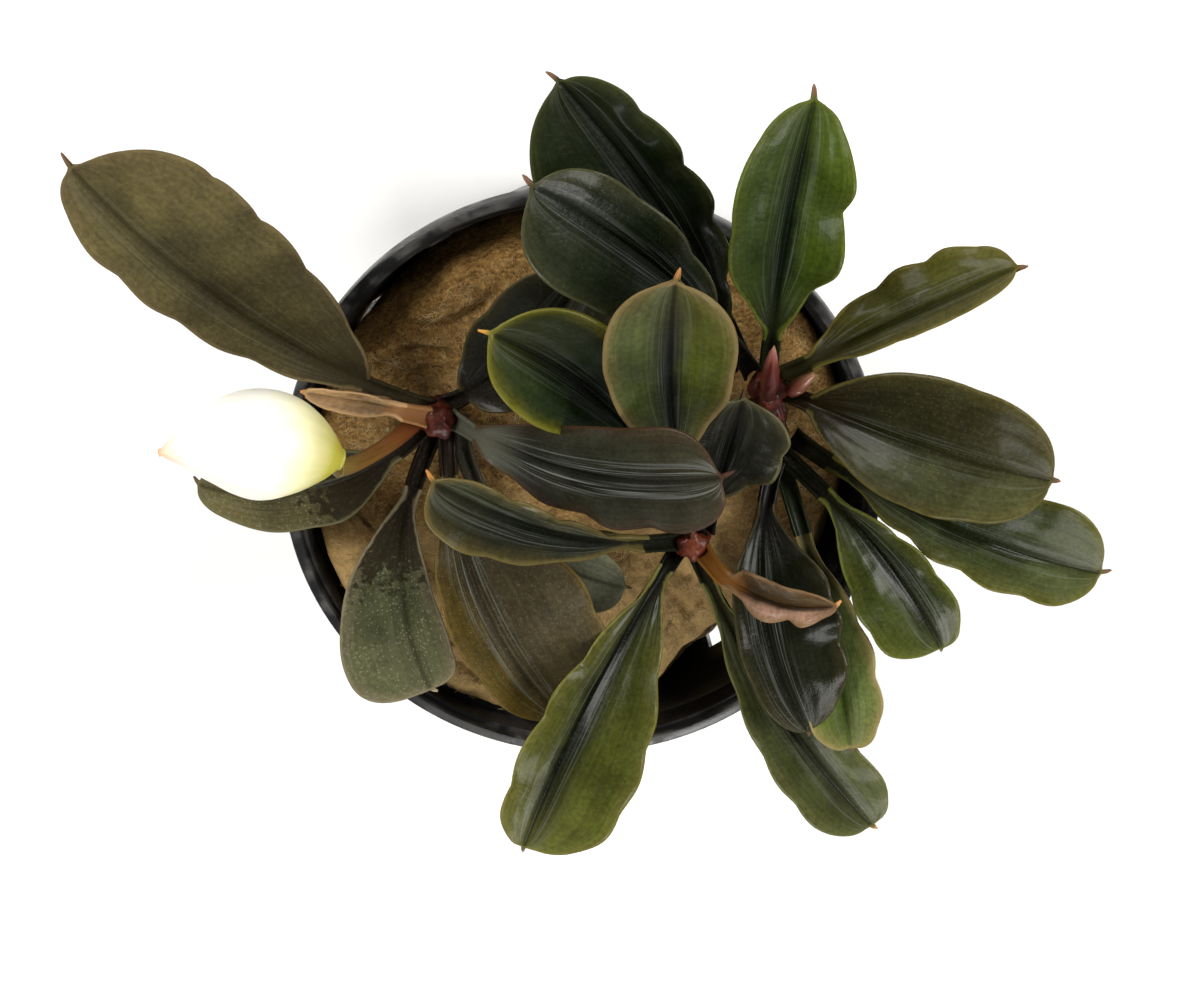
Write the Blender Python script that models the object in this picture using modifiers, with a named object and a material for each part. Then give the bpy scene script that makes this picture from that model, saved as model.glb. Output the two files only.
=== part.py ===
"""Bucephalandra growing in mineral wool in a round black plant pot.

The origin is the middle of the pot's underside, on the surface that it stands on, with +Z up. +X is to the
right and +Y is to the back as the plant is looked down on. Sizes below are in millimetres and angles in
degrees; MM turns them into Blender's metres.
"""

import math
from collections import namedtuple

import bmesh
import bpy
from mathutils import Matrix, Vector

MM = 0.001

# Pot: a tapered cup with a stepped lip, slots in its wall and a slotted floor
RIM_RADIUS = 25.0
LIP_WIDTH = 1.0
STEP_DROP = 0.7
STEP_WIDTH = 0.4
POT_HEIGHT = 45.0
WALL = 0.9
WALL_TOP_RADIUS = 24.5
WALL_FOOT_RADIUS = 17.1
LIP_SKIRT = 1.8
LIP_CHAMFER = 0.25
POT_COLUMNS = 48
SLOTS = 16  # round the wall, and as many spokes in the floor
SLOT_WIDTH = 2.2
SLOT_ROWS = ((6.0, 19.0), (21.5, 35.5))  # lower and upper end of each row of slots
FLOOR_HUB = 7.5
FLOOR_RING = 14.0

# Mineral wool plug
GAP = 0.35  # clearance between the plug and the pot, and under a crown
WOOL_TOP = 42.3
WOOL_FOOT = 1.4
WOOL_SIDES = 36
WOOL_LEVELS = (0.0, 0.5, 0.88, 0.96)  # rings up the side, as shares of the height
WOOL_SHOULDER = 0.5  # how far the highest of those stands out past the upper edge
WOOL_SHARES = (1.0, 0.9, 0.7, 0.48, 0.25, 0.06)  # rings over the upper face, as shares of the reach
WOOL_EDGE_DROP = 0.8
# Reach of the plug's upper edge, every 20 degrees from +X round to the left
WOOL_REACH = (21.4, 22.2, 22.6, 22.4, 21.0, 19.8, 20.2, 19.6, 22.2)
WOOL_REACH += (22.7, 22.8, 22.6, 22.8, 22.5, 22.0, 18.6, 18.2, 20.6)
WoolLump = namedtuple("WoolLump", "x y width rise")
WOOL_LUMPS = (
    WoolLump(-19.0, -8.0, 6.0, 1.3),
    WoolLump(-10.0, -18.0, 7.0, 0.9),
    WoolLump(-11.0, 12.0, 5.0, 0.8),
    WoolLump(-4.0, 8.0, 2.4, -1.1),
    WoolLump(17.0, 9.0, 5.0, 0.9),
    WoolLump(12.0, -14.0, 5.0, -1.0),
    WoolLump(2.0, -3.0, 4.0, -0.6),
)

# Crowns: the creeping stems, each a short knobbly rod whose foot is in the wool
CROWN_RADIUS = 1.3
CROWN_SIDES = 8
CROWNS = {
    "crown_left": ((-11.7, 6.2, 43.7), (-11.6, 6.4, 45.5), (-11.5, 6.5, 48.6)),
    "crown_right": (
        (15.2, 6.2, 43.9), (15.8, 4.2, 45.9), (15.5, 6.6, 46.9), (15.0, 9.0, 47.3), (13.6, 9.8, 47.0),
    ),
    "crown_front": ((9.3, -4.3, 43.5), (9.2, -4.3, 45.5), (9.1, -4.1, 48.8)),
}

# Leaves
STALK = 1.0  # thickness of a leaf stalk
BLADE = 0.5  # thickness of a blade beside its midrib
KEEL = 0.45  # how far the midrib stands out below, at the foot of the blade
POINT_SHARE = 0.045  # share of the blade that is its small hooked point
POINT_WIDTH = 0.7
LEAF_SIDES = 8
STALK_ROWS = 2
BLADE_ROWS = 12
# foot is where the stalk leaves the crown. heading and lift point the stalk round the compass and above the
# horizontal, and turn and bend are how much they change by the tip. fullest is where along the blade it is
# widest, skew widens its right half and narrows its left, roll raises the right margin, and fold lifts both.
LEAF_SHAPE = "foot heading turn lift bend stalk blade width fullest skew roll fold waves ripple"
Leaf = namedtuple("Leaf", "name " + LEAF_SHAPE)
LEAVES = [Leaf(*row) for row in (
    ("leaf_left_long", (-13.0, 7.5, 46.0), 153, -31, 22, -6, 5.5, 30.2, 11.3, 0.62, 0.35, 0, 10, 5, 0.45),
    ("leaf_left_sliver", (-13.1, 7.4, 48.2), 160, 3, 26, -9, 1.5, 8.5, 1.9, 0.40, 0.0, 0, 20, 0, 0.0),
    ("leaf_left_under_flower", (-13.0, 5.5, 45.9), -135, -66, 18, -23, 3.0, 17.6, 6.6, 0.42, 0.1, 0, 8, 3, 0.2),
    ("leaf_left_spotted", (-12.1, 4.8, 44.9), -118, 53, 22, -30, 5.0, 18.4, 9.6, 0.80, 0.38, 0, 6, 3, 0.2),
    ("leaf_left_brown", (-11.0, 4.8, 45.7), -89, 40, 26, -40, 3.5, 24.2, 12.2, 0.54, -0.45, 0, 8, 4, 0.4),
    ("leaf_left_arching", (-9.7, 6.3, 47.2), -15, 37, 50, -22, 4.0, 23.6, 8.7, 0.78, 0.0, 0, -8, 4, 0.35),
    ("leaf_left_shaded", (-10.3, 7.9, 46.0), 22, 56, 28, -7, 3.0, 16.5, 10.5, 0.50, 0.0, 0, 8, 3, 0.3),
    ("leaf_left_low", (-10.1, 5.4, 44.6), -85, 80, 6, -6, 6.0, 16.0, 6.5, 0.60, 0.0, 0, 6, 2, 0.2),
    ("leaf_right_tall", (12.9, 11.6, 46.6), 111, 20, 31, -16, 5.0, 26.6, 10.7, 0.49, -0.36, 0, 8, 5, 0.45),
    ("leaf_right_leaning", (13.4, 11.4, 48.3), 118, 30, 44, -24, 5.5, 24.6, 9.0, 0.72, -0.2, 0, 8, 4, 0.35),
    ("leaf_right_green", (15.0, 11.3, 47.2), 91, -9, 40, -17, 4.0, 24.7, 8.9, 0.44, 0.05, 0, 8, 5, 0.4),
    ("leaf_right_edgewise", (16.5, 10.6, 47.2), 35, -4, 28, -10, 2.5, 19.3, 6.6, 0.58, 0.0, 40, 8, 4, 0.35),
    ("leaf_right_broad", (17.0, 8.9, 47.6), -17, 8, 40, -37, 2.0, 20.8, 11.0, 0.52, 0.0, 0, 8, 4, 0.35),
    ("leaf_right_under", (18.0, 4.1, 45.4), -32, 22, 22, -20, 3.0, 24.8, 9.4, 0.74, -0.1, 0, 8, 5, 0.35),
    ("leaf_right_dark", (15.7, 2.3, 46.8), -106, 50, 23, -29, 3.0, 21.4, 9.2, 0.39, -0.4, 0, 8, 4, 0.3),
    ("leaf_right_folded", (16.4, 2.4, 45.2), -71, -9, 22, -31, 6.5, 20.6, 7.0, 0.60, 0.0, 0, 25, 4, 0.3),
    ("leaf_right_shining", (17.1, 2.9, 46.6), -37, -27, 29, -39, 4.0, 17.4, 7.5, 0.68, 0.25, 0, 8, 4, 0.3),
    ("leaf_front_low", (9.7, -5.9, 45.2), -67, 18, 14, -25, 2.5, 28.8, 7.7, 0.76, 0.1, 0, 8, 5, 0.35),
    ("leaf_front_long", (7.8, -5.4, 46.0), -130, 24, 42, -57, 2.0, 28.5, 9.9, 0.66, -0.25, 0, 8, 5, 0.4),
    ("leaf_front_curled", (7.4, -3.7, 47.6), 167, -32, 43, -19, 3.5, 23.0, 6.4, 0.78, -0.2, 0, 8, 4, 0.35),
    ("leaf_front_cupped", (8.4, -2.5, 46.3), 106, 44, 25, 4, 8.0, 21.2, 9.9, 0.64, 0.12, 0, 14, 3, 0.25),
    ("leaf_front_upright", (9.3, -2.4, 48.3), 106, -21, 36, -5, 9.0, 22.2, 9.8, 0.64, 0.0, 0, 8, 3, 0.3),
    ("leaf_front_shaded", (10.3, -2.8, 46.2), 82, -2, 38, -10, 4.0, 13.0, 9.0, 0.60, 0.0, 0, 8, 3, 0.3),
    ("leaf_front_young", (10.5, -5.0, 48.3), -33, 43, 68, -46, 3.6, 9.6, 5.4, 0.38, -0.3, 0, 25, 3, 0.25),
)]
# Finish of the leaves that aren't glossy dark green
LEAF_TONES = {
    "leaf olive": ("leaf_left_long", "leaf_left_under_flower", "leaf_left_spotted", "leaf_left_low"),
    "leaf brown": ("leaf_left_brown", "leaf_left_sliver", "leaf_right_broad", "leaf_front_young"),
    "leaf green": ("leaf_right_green", "leaf_right_edgewise", "leaf_right_under", "leaf_right_folded",
                   "leaf_front_low", "leaf_front_long", "leaf_front_cupped", "leaf_front_upright"),
}

# Flower: a closed white spathe on its stalk
FLOWER_STALK = ((-14.0, 6.1, 47.0), (-14.9, 5.6, 49.4), (-16.2, 5.5, 52.4), (-17.9, 5.8, 56.6))
FLOWER_STALK_RADIUS = 0.7
SPATHE_FOOT = (-18.3, 5.9, 57.3)
SPATHE_HEADING = 168
SPATHE_LIFT = 22
SPATHE_LENGTH = 15.0
SPATHE_WIDTH = 9.2
SPATHE_SIDES = 12
SPATHE_ROWS = 10

# Buds: rolled young leaves on the right crown
Bud = namedtuple("Bud", "name foot heading lift length width")
BUDS = (
    Bud("bud_tall", (14.9, 8.9, 49.0), 95, 62, 7.0, 1.7),
    Bud("bud_short", (16.7, 9.4, 49.2), 50, 35, 3.0, 1.4),
)
BUD_ROWS = 6
BUD_TIP_RADIUS = 0.08

# Colour, roughness and metallic value of each kind of piece
FINISHES = {
    "pot plastic": ((0.012, 0.012, 0.014), 0.45),
    "mineral wool": ((0.33, 0.22, 0.11), 0.95),
    "stem red": ((0.16, 0.025, 0.02), 0.5),
    "leaf dark": ((0.018, 0.028, 0.014), 0.3),
    "leaf green": ((0.06, 0.1, 0.025), 0.35),
    "leaf olive": ((0.085, 0.09, 0.055), 0.6),
    "leaf brown": ((0.09, 0.07, 0.035), 0.45),
    "spathe white": ((0.85, 0.83, 0.68), 0.45),
    "flower stalk": ((0.22, 0.09, 0.04), 0.5),
}


def cleared_scene():
    """Empties the startup scene and returns the collections of the plant's pieces and of their cutters."""
    for thing in list(bpy.data.objects):
        bpy.data.objects.remove(thing, do_unlink=True)
    collections = [bpy.data.collections.new(name) for name in ("bucephalandra", "cutters")]
    for collection in collections:
        bpy.context.scene.collection.children.link(collection)
    return collections


def finish(name):
    """The named material, made on first use."""
    if name in bpy.data.materials:
        return bpy.data.materials[name]
    colour, roughness = FINISHES[name]
    material = bpy.data.materials.new(name)
    material.use_nodes = True
    shader = material.node_tree.nodes["Principled BSDF"]
    shader.inputs["Base Color"].default_value = (*colour, 1)
    shader.inputs["Roughness"].default_value = roughness
    shader.inputs["Metallic"].default_value = 0
    return material


def add_piece(collection, name, mesh_maker, finish_name):
    """One named object from a bmesh, shaded smooth but for its sharp edges."""
    mesh = bpy.data.meshes.new(name)
    bmesh.ops.recalc_face_normals(mesh_maker, faces=mesh_maker.faces)
    mesh_maker.to_mesh(mesh)
    mesh_maker.free()
    piece = bpy.data.objects.new(name, mesh)
    collection.objects.link(piece)
    mesh.materials.append(finish(finish_name))
    mesh.shade_smooth()
    mesh.set_sharp_from_angle(angle=math.radians(50))
    return piece


def lofted(rings):
    """A closed skin through rings of equal point counts: a capped circle, extruded on from ring to ring."""
    skin = bmesh.new()
    size = len(rings[0])
    loop = bmesh.ops.create_circle(skin, cap_ends=True, radius=MM, segments=size)["verts"]
    for vertex, place in zip(loop, rings[0]):
        vertex.co = Vector(place) * MM
    for ring in rings[1:]:
        edges = [skin.edges.get((loop[i], loop[(i + 1) % size])) for i in range(size)]
        made = bmesh.ops.extrude_edge_only(skin, edges=edges)["geom"]
        fresh = {item for item in made if isinstance(item, bmesh.types.BMVert)}
        loop = [next(e.other_vert(old) for e in old.link_edges if e.other_vert(old) in fresh) for old in loop]
        for vertex, place in zip(loop, ring):
            vertex.co = Vector(place) * MM
    bmesh.ops.contextual_create(skin, geom=loop)
    return skin


def direction(heading, lift):
    """Unit vector at a compass heading and a lift above the horizontal."""
    h, e = math.radians(heading), math.radians(lift)
    return Vector((math.cos(e) * math.cos(h), math.cos(e) * math.sin(h), math.sin(e)))


def smooth_route(points, steps):
    """Points along a Catmull-Rom curve through the route's own points."""
    ends = [points[0], *points, points[-1]]
    route = []
    for i in range(len(points) - 1):
        a, b, c, d = (Vector(p) for p in ends[i : i + 4])
        for k in range(steps):
            t = k / steps
            slope, curve, twist = c - a, 2 * a - 5 * b + 4 * c - d, 3 * b - a - 3 * c + d
            route.append(b + (slope * t + curve * t**2 + twist * t**3) / 2)
    route.append(Vector(points[-1]))
    return route


def blade_share(t, fullest):
    """Half width of a blade, as a share of its greatest, at t from its foot (0) to its tip (1)."""
    x = min(t / (1 - POINT_SHARE), 1)
    if x < fullest:
        return math.sin(math.pi / 2 * x / fullest)
    return math.sqrt(max(0.0, 1 - ((x - fullest) / (1 - fullest)) ** 2.5))


def leaf_rows(leaf):
    """(distance along the leaf, share of the blade) at each ring, closer near both ends of the blade."""
    rows = [(leaf.stalk * k / STALK_ROWS, 0.0) for k in range(STALK_ROWS)]
    for k in range(BLADE_ROWS + 1):
        even = k / BLADE_ROWS
        t = 0.6 * even + 0.4 * (1 - math.cos(math.pi * even)) / 2
        rows.append((leaf.stalk + leaf.blade * t, t))
    return rows


def leaf_place(leaf, along):
    """(middle, right, up) of the leaf at a distance along it, before the blade's roll."""
    whole = leaf.stalk + leaf.blade
    middle = Vector(leaf.foot)
    steps = 24
    for k in range(steps):
        share = (k + 0.5) / steps * along / whole
        middle += direction(leaf.heading + leaf.turn * share, leaf.lift + leaf.bend * share) * (along / steps)
    share = along / whole
    heading = math.radians(leaf.heading + leaf.turn * share)
    forward = direction(leaf.heading + leaf.turn * share, leaf.lift + leaf.bend * share)
    right = Vector((math.sin(heading), -math.cos(heading), 0))
    return middle, right, right.cross(forward)


def leaf_ring(leaf, along, t):
    """The ring of points round the leaf at one row: round in the stalk, thin and waved in the blade."""
    middle, right, up = leaf_place(leaf, along)
    roll = math.radians(leaf.roll) * min(1, 2.5 * t)
    right, up = right * math.cos(roll) + up * math.sin(roll), up * math.cos(roll) - right * math.sin(roll)
    fold = math.radians(leaf.fold) * min(1, 4 * t)
    swell = math.sin(math.pi * t) ** 0.7 if 0 < t < 1 else 0.0
    stalk_share = (1 - t) ** 3
    ring = []
    for k in range(LEAF_SIDES):
        angle = 2 * math.pi * k / LEAF_SIDES
        across, over = math.cos(angle), math.sin(angle)
        side = 1 if across > 0 else -1
        half = blade_share(t, leaf.fullest) * leaf.width / 2 * (1 + leaf.skew * side)
        half = max(half, STALK / 2 * stalk_share, POINT_WIDTH / 2 * min(1, (1.1 - t) / POINT_SHARE / 2))
        phase = 2 * math.pi * leaf.waves * t + (0.6 if side > 0 else 2.0)
        wave = leaf.ripple * across**2 * math.sin(phase) * swell
        scallop = 1 + 0.04 * abs(across) * math.sin(phase + 1.2) * swell * (leaf.ripple > 0)
        thick = BLADE / 2 + (STALK - BLADE) / 2 * stalk_share
        keel = KEEL * (1 - t) * min(1, 6 * t) if over < -0.9 else 0.0
        out = across * half * math.cos(fold) * scallop
        rise = abs(across) ** 1.4 * half * math.sin(fold) + wave + over * thick - keel
        ring.append(middle + right * out + up * rise)
    return ring


def add_leaf(collection, leaf):
    """A stalk and its blade in one skin, in the leaf's own tone."""
    rings = [leaf_ring(leaf, along, t) for along, t in leaf_rows(leaf)]
    tone = next((tone for tone, names in LEAF_TONES.items() if leaf.name in names), "leaf dark")
    return add_piece(collection, leaf.name, lofted(rings), tone)


def tapered_rod(route, radii, sides):
    """Rings of a rod along a route, each square to it."""
    rings = []
    for i, middle in enumerate(route):
        forward = (route[min(i + 1, len(route) - 1)] - route[max(i - 1, 0)]).normalized()
        helper = Vector((1, 0, 0)) if abs(forward.x) < 0.8 else Vector((0, 1, 0))
        right = forward.cross(helper).normalized()
        up = right.cross(forward)
        turns = [2 * math.pi * k / sides for k in range(sides)]
        rings.append([middle + (right * math.cos(a) + up * math.sin(a)) * radii[i] for a in turns])
    return rings


def add_crown(collection, name):
    """A knobbly rod: it swells at each leaf scar and closes over its growing tip."""
    route = smooth_route(CROWNS[name], 4)
    last = len(route) - 1
    radii = []
    for i in range(len(route)):
        knob = 0.12 * math.cos(math.pi * i)
        close = math.sqrt(max(0.12, 1 - (i / last) ** 8))
        radii.append(CROWN_RADIUS * (1 + knob) * close)
    return add_piece(collection, name, lofted(tapered_rod(route, radii, CROWN_SIDES)), "stem red")


def add_bud(collection, bud):
    """A rolled young leaf: a slim cone with a swollen lower half."""
    forward = direction(bud.heading, bud.lift)
    route, radii = [], []
    for k in range(BUD_ROWS + 1):
        t = k / BUD_ROWS
        swell = 0.7 + 0.3 * math.sin(math.pi * t)
        route.append(Vector(bud.foot) + forward * bud.length * t)
        radii.append(bud.width / 2 * swell * (1 - t**2.5) + BUD_TIP_RADIUS)
    return add_piece(collection, bud.name, lofted(tapered_rod(route, radii, CROWN_SIDES)), "stem red")


def add_flower(collection):
    """The closed spathe, an egg drawn out to a beak, and the stalk that carries it."""
    stalk_route = smooth_route(FLOWER_STALK, 4)
    stalk_rings = tapered_rod(stalk_route, [FLOWER_STALK_RADIUS] * len(stalk_route), CROWN_SIDES)
    add_piece(collection, "flower_stalk", lofted(stalk_rings), "flower stalk")
    forward = direction(SPATHE_HEADING, SPATHE_LIFT)
    route, radii = [], []
    for k in range(SPATHE_ROWS + 1):
        t = (1 - math.cos(math.pi * k / SPATHE_ROWS)) / 2
        belly = math.sin(math.pi * t**0.95) ** 0.75 if 0 < t < 1 else 0.0
        beak = 1 - 0.45 * t**3
        route.append(Vector(SPATHE_FOOT) + forward * SPATHE_LENGTH * t)
        radii.append(max(SPATHE_WIDTH / 2 * belly * beak, 0.9 - 0.6 * t))
    add_piece(collection, "spathe", lofted(tapered_rod(route, radii, SPATHE_SIDES)), "spathe white")


def wool_reach(angle):
    """How far the plug's upper edge reaches at an angle in radians, between the reaches given."""
    place = (math.degrees(angle) % 360) / 360 * len(WOOL_REACH)
    low = int(place) % len(WOOL_REACH)
    share = (1 - math.cos(math.pi * (place - int(place)))) / 2
    return WOOL_REACH[low] * (1 - share) + WOOL_REACH[(low + 1) % len(WOOL_REACH)] * share


def wool_height(x, y):
    """Height of the plug's upper face, with its lumps, folds and hollows."""
    height = WOOL_TOP
    for lump in WOOL_LUMPS:
        distance = math.hypot(x - lump.x, y - lump.y) / lump.width
        height += lump.rise * math.exp(-distance**2)
    return height


def wall_radius(height):
    """Outer radius of the pot's wall at a height."""
    share = height / (POT_HEIGHT - LIP_SKIRT)
    return WALL_FOOT_RADIUS + (WALL_TOP_RADIUS - WALL_FOOT_RADIUS) * share


def add_wool(collection):
    """The plug: rings up the inside of the pot, then inwards over a lumpy upper face."""
    angles = [2 * math.pi * k / WOOL_SIDES for k in range(WOOL_SIDES)]
    rings = []
    for level in WOOL_LEVELS:
        height = WOOL_FOOT + (WOOL_TOP - WOOL_FOOT) * level
        snug = wall_radius(height) - WALL - GAP
        loose = WOOL_SHOULDER if level == WOOL_LEVELS[-1] else snug
        reaches = [min(snug, wool_reach(a) + loose) for a in angles]
        rings.append([(r * math.cos(a), r * math.sin(a), height) for r, a in zip(reaches, angles)])
    for share in WOOL_SHARES:
        ring = []
        for a in angles:
            x, y = wool_reach(a) * share * math.cos(a), wool_reach(a) * share * math.sin(a)
            edge_drop = WOOL_EDGE_DROP if share == WOOL_SHARES[0] else 0.0
            ring.append((x, y, wool_height(x, y) - edge_drop))
        rings.append(ring)
    return add_piece(collection, "wool_plug", lofted(rings), "mineral wool")


def slot_cutters(cutters):
    """One mesh of boxes: two rows of slots round the wall, and spokes through the floor."""
    boxes = bmesh.new()
    rows = [(low, high, wall_radius((low + high) / 2), WALL * 6) for low, high in SLOT_ROWS]
    rows.append((-WALL, 2 * WALL, (FLOOR_HUB + FLOOR_RING) / 2, FLOOR_RING - FLOOR_HUB))
    for low, high, radius, depth in rows:
        for k in range(SLOTS):
            turn = Matrix.Rotation(2 * math.pi * (k + 0.5) / SLOTS, 4, "Z")
            place = turn @ Matrix.Translation(Vector((radius, 0, (low + high) / 2)) * MM)
            size = Matrix.Diagonal((depth * MM, SLOT_WIDTH * MM, (high - low) * MM, 1))
            bmesh.ops.create_cube(boxes, size=1, matrix=place @ size)
    mesh = bpy.data.meshes.new("pot_slots")
    boxes.to_mesh(mesh)
    boxes.free()
    cutter = bpy.data.objects.new("pot_slots", mesh)
    cutters.objects.link(cutter)
    cutter.hide_render = True
    cutter.display_type = "WIRE"
    return cutter


def add_pot(collection, cutters):
    """The pot: a turned cup with a stepped lip, then its slots."""
    inner = WALL_FOOT_RADIUS - WALL
    lip_in = RIM_RADIUS - LIP_WIDTH
    step = POT_HEIGHT - STEP_DROP
    skirt = POT_HEIGHT - LIP_SKIRT
    profile = [(0, WALL), (inner, WALL), (lip_in - STEP_WIDTH, step), (lip_in, step), (lip_in, POT_HEIGHT)]
    profile += [(RIM_RADIUS - LIP_CHAMFER, POT_HEIGHT), (RIM_RADIUS, POT_HEIGHT - LIP_CHAMFER)]
    profile += [(RIM_RADIUS, skirt), (WALL_TOP_RADIUS, skirt), (WALL_FOOT_RADIUS, 0), (0, 0)]
    outline = bmesh.new()
    corners = [outline.verts.new((x * MM, 0, z * MM)) for x, z in profile]
    for start, end in zip(corners, corners[1:]):
        outline.edges.new((start, end))
    mesh = bpy.data.meshes.new("pot")
    outline.to_mesh(mesh)
    outline.free()
    pot = bpy.data.objects.new("pot", mesh)
    collection.objects.link(pot)
    mesh.materials.append(finish("pot plastic"))
    turned = pot.modifiers.new("turned", "SCREW")
    turned.steps = turned.render_steps = POT_COLUMNS
    turned.use_merge_vertices = True
    turned.merge_threshold = 0.0001
    slots = pot.modifiers.new("slots", "BOOLEAN")
    slots.operation = "DIFFERENCE"
    slots.object = slot_cutters(cutters)
    return pot


collection, cutters = cleared_scene()
add_pot(collection, cutters)
add_wool(collection)
for crown_name in CROWNS:
    add_crown(collection, crown_name)
for leaf in LEAVES:
    add_leaf(collection, leaf)
for bud in BUDS:
    add_bud(collection, bud)
add_flower(collection)
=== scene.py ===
# %% [markdown]
# # A potted bucephalandra, dressed
#
# The plant is about 80 mm across: three creeping stems in a plug of mineral wool, two dozen wavy leaves with
# hooked tips, one closed white flower, and a slotted black pot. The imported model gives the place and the
# size of every piece. This script loads it as a fixed frame and puts a finely modelled piece over each of
# its solids.

# %% Load the fixed frame
import math
import random
from collections import namedtuple

import bmesh
import bpy
from mathutils import Matrix, Vector, noise


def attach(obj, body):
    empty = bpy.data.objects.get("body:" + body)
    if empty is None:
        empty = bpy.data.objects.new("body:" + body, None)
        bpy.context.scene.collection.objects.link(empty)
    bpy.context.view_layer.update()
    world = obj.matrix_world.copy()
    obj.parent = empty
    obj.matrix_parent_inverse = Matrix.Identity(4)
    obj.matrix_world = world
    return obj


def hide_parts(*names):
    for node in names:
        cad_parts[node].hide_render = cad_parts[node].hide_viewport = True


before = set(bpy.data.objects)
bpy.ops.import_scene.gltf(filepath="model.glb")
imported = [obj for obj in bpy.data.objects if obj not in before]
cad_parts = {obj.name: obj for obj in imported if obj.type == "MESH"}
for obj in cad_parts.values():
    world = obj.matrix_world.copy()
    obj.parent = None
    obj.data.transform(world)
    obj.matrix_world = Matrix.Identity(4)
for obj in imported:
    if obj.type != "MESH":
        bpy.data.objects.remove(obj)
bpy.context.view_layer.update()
MM = 0.001

# %% [markdown]
# ## The camera
#
# The plant is looked down on from about 170 mm, with the camera leaning some 20 degrees from straight down,
# from the back. A camera could be aimed with a constraint, but a location and one angle say the same thing
# and stay readable. The lens is long enough for the rim of the pot to fill half the width, as it does in a
# close photograph.

# %% Camera
CAMERA_AIM = Vector((1.5, -0.83, 45.0)) * MM
CAMERA_DISTANCE = 170.0 * MM
CAMERA_LEAN = math.radians(20.3)
LENS = 61.14

camera = bpy.data.objects.new("camera", bpy.data.cameras.new("camera"))
camera.data.lens = LENS
camera.data.sensor_width = 36.0
camera.data.clip_start = 0.01
camera.location = CAMERA_AIM + Vector((0, math.sin(CAMERA_LEAN), math.cos(CAMERA_LEAN))) * CAMERA_DISTANCE
camera.rotation_euler = (-CAMERA_LEAN, 0, 0)
bpy.context.scene.collection.objects.link(camera)
bpy.context.scene.camera = camera
print("camera at", camera.location / MM, "mm")

# %% [markdown]
# ## The floor and the light
#
# A glossy leaf shows what is above it, so the light is what draws its ribs. An even white sky alone would
# lay a grey haze on every leaf. A sky that is dim overhead and a little brighter towards the horizon, with a
# few soft boxes, gives dark leaves with clear, soft-edged highlights, and a floor bright enough to come out
# nearly white.

# %% Floor, sky and soft boxes
FLOOR_SIZE = 3.0
FLOOR_COLOUR = (0.92, 0.92, 0.915)
OVERHEAD = 0.10  # strength of the sky overhead
ROUND_ABOUT = 0.4  # strength of the sky towards the horizon
SoftBox = namedtuple("SoftBox", "name place size power tint")
SOFT_BOXES = (
    SoftBox("key_box", (-0.30, 0.22, 0.38), 0.20, 2.2, (1.0, 0.98, 0.95)),
    SoftBox("right_box", (0.36, 0.10, 0.38), 0.20, 1.75, (1.0, 0.99, 0.97)),
    SoftBox("front_box", (0.05, -0.38, 0.38), 0.20, 1.4, (1.0, 0.99, 0.97)),
    SoftBox("spark_box", (0.16, 0.30, 0.36), 0.05, 0.3, (1.0, 0.99, 0.97)),
)


def make_floor():
    """One quad at the height that the pot stands on."""
    sheet = bmesh.new()
    bmesh.ops.create_grid(sheet, x_segments=1, y_segments=1, size=FLOOR_SIZE / 2)
    mesh = bpy.data.meshes.new("floor")
    sheet.to_mesh(mesh)
    sheet.free()
    paint = bpy.data.materials.new("floor paint")
    paint.use_nodes = True
    shader = paint.node_tree.nodes["Principled BSDF"]
    shader.inputs["Base Color"].default_value = (*FLOOR_COLOUR, 1)
    shader.inputs["Roughness"].default_value = 0.9
    mesh.materials.append(paint)
    floor = bpy.data.objects.new("floor", mesh)
    bpy.context.scene.collection.objects.link(floor)


def make_soft_box(box):
    """A square area light that faces the plant."""
    light = bpy.data.lights.new(box.name, "AREA")
    light.size = box.size
    light.energy = box.power
    light.color = box.tint
    lamp = bpy.data.objects.new(box.name, light)
    lamp.location = box.place
    lamp.rotation_euler = (Vector(box.place) - CAMERA_AIM).to_track_quat("Z", "Y").to_euler()
    bpy.context.scene.collection.objects.link(lamp)


def make_sky():
    """A room's sky: dim overhead and brighter towards the walls."""
    world = bpy.data.worlds.new("studio")
    world.use_nodes = True
    nodes, links = world.node_tree.nodes, world.node_tree.links
    height = nodes.new("ShaderNodeSeparateXYZ")
    links.new(nodes.new("ShaderNodeTexCoord").outputs["Generated"], height.inputs[0])
    strength = nodes.new("ShaderNodeMapRange")
    strength.interpolation_type = "SMOOTHSTEP"
    links.new(height.outputs[2], strength.inputs[0])
    for place, value in enumerate((0.5, 0.85, ROUND_ABOUT, OVERHEAD), start=1):
        strength.inputs[place].default_value = value
    links.new(strength.outputs[0], nodes["Background"].inputs["Strength"])
    nodes["Background"].inputs["Color"].default_value = (1.0, 0.99, 0.97, 1)
    bpy.context.scene.world = world


make_floor()
for box in SOFT_BOXES:
    make_soft_box(box)
make_sky()
bpy.context.scene.view_settings.view_transform = "Standard"
print(f"floor, {len(SOFT_BOXES)} soft boxes, and a sky of {OVERHEAD} overhead and {ROUND_ABOUT} round about")

# %% [markdown]
# ## Helpers for finishes
#
# Every finish is a Principled shader fed by a few texture nodes. Adding a node, setting it and wiring it
# takes many lines each time, so small helpers do it: a value that is already a socket is wired, and any
# other value is set.

# %% Node helpers


def add_node(tree, kind, inputs=None, **settings):
    """A new node with its settings made and its inputs set or wired."""
    made = tree.nodes.new(kind)
    for name, value in settings.items():
        setattr(made, name, value)
    for key, value in (inputs or {}).items():
        if isinstance(value, bpy.types.NodeSocket):
            tree.links.new(value, made.inputs[key])
        else:
            made.inputs[key].default_value = value
    return made


def rgba(colour):
    """A colour as a node takes it: a socket stays as it is, and three numbers get an alpha."""
    return colour if isinstance(colour, bpy.types.NodeSocket) else (*colour, 1.0)


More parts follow.
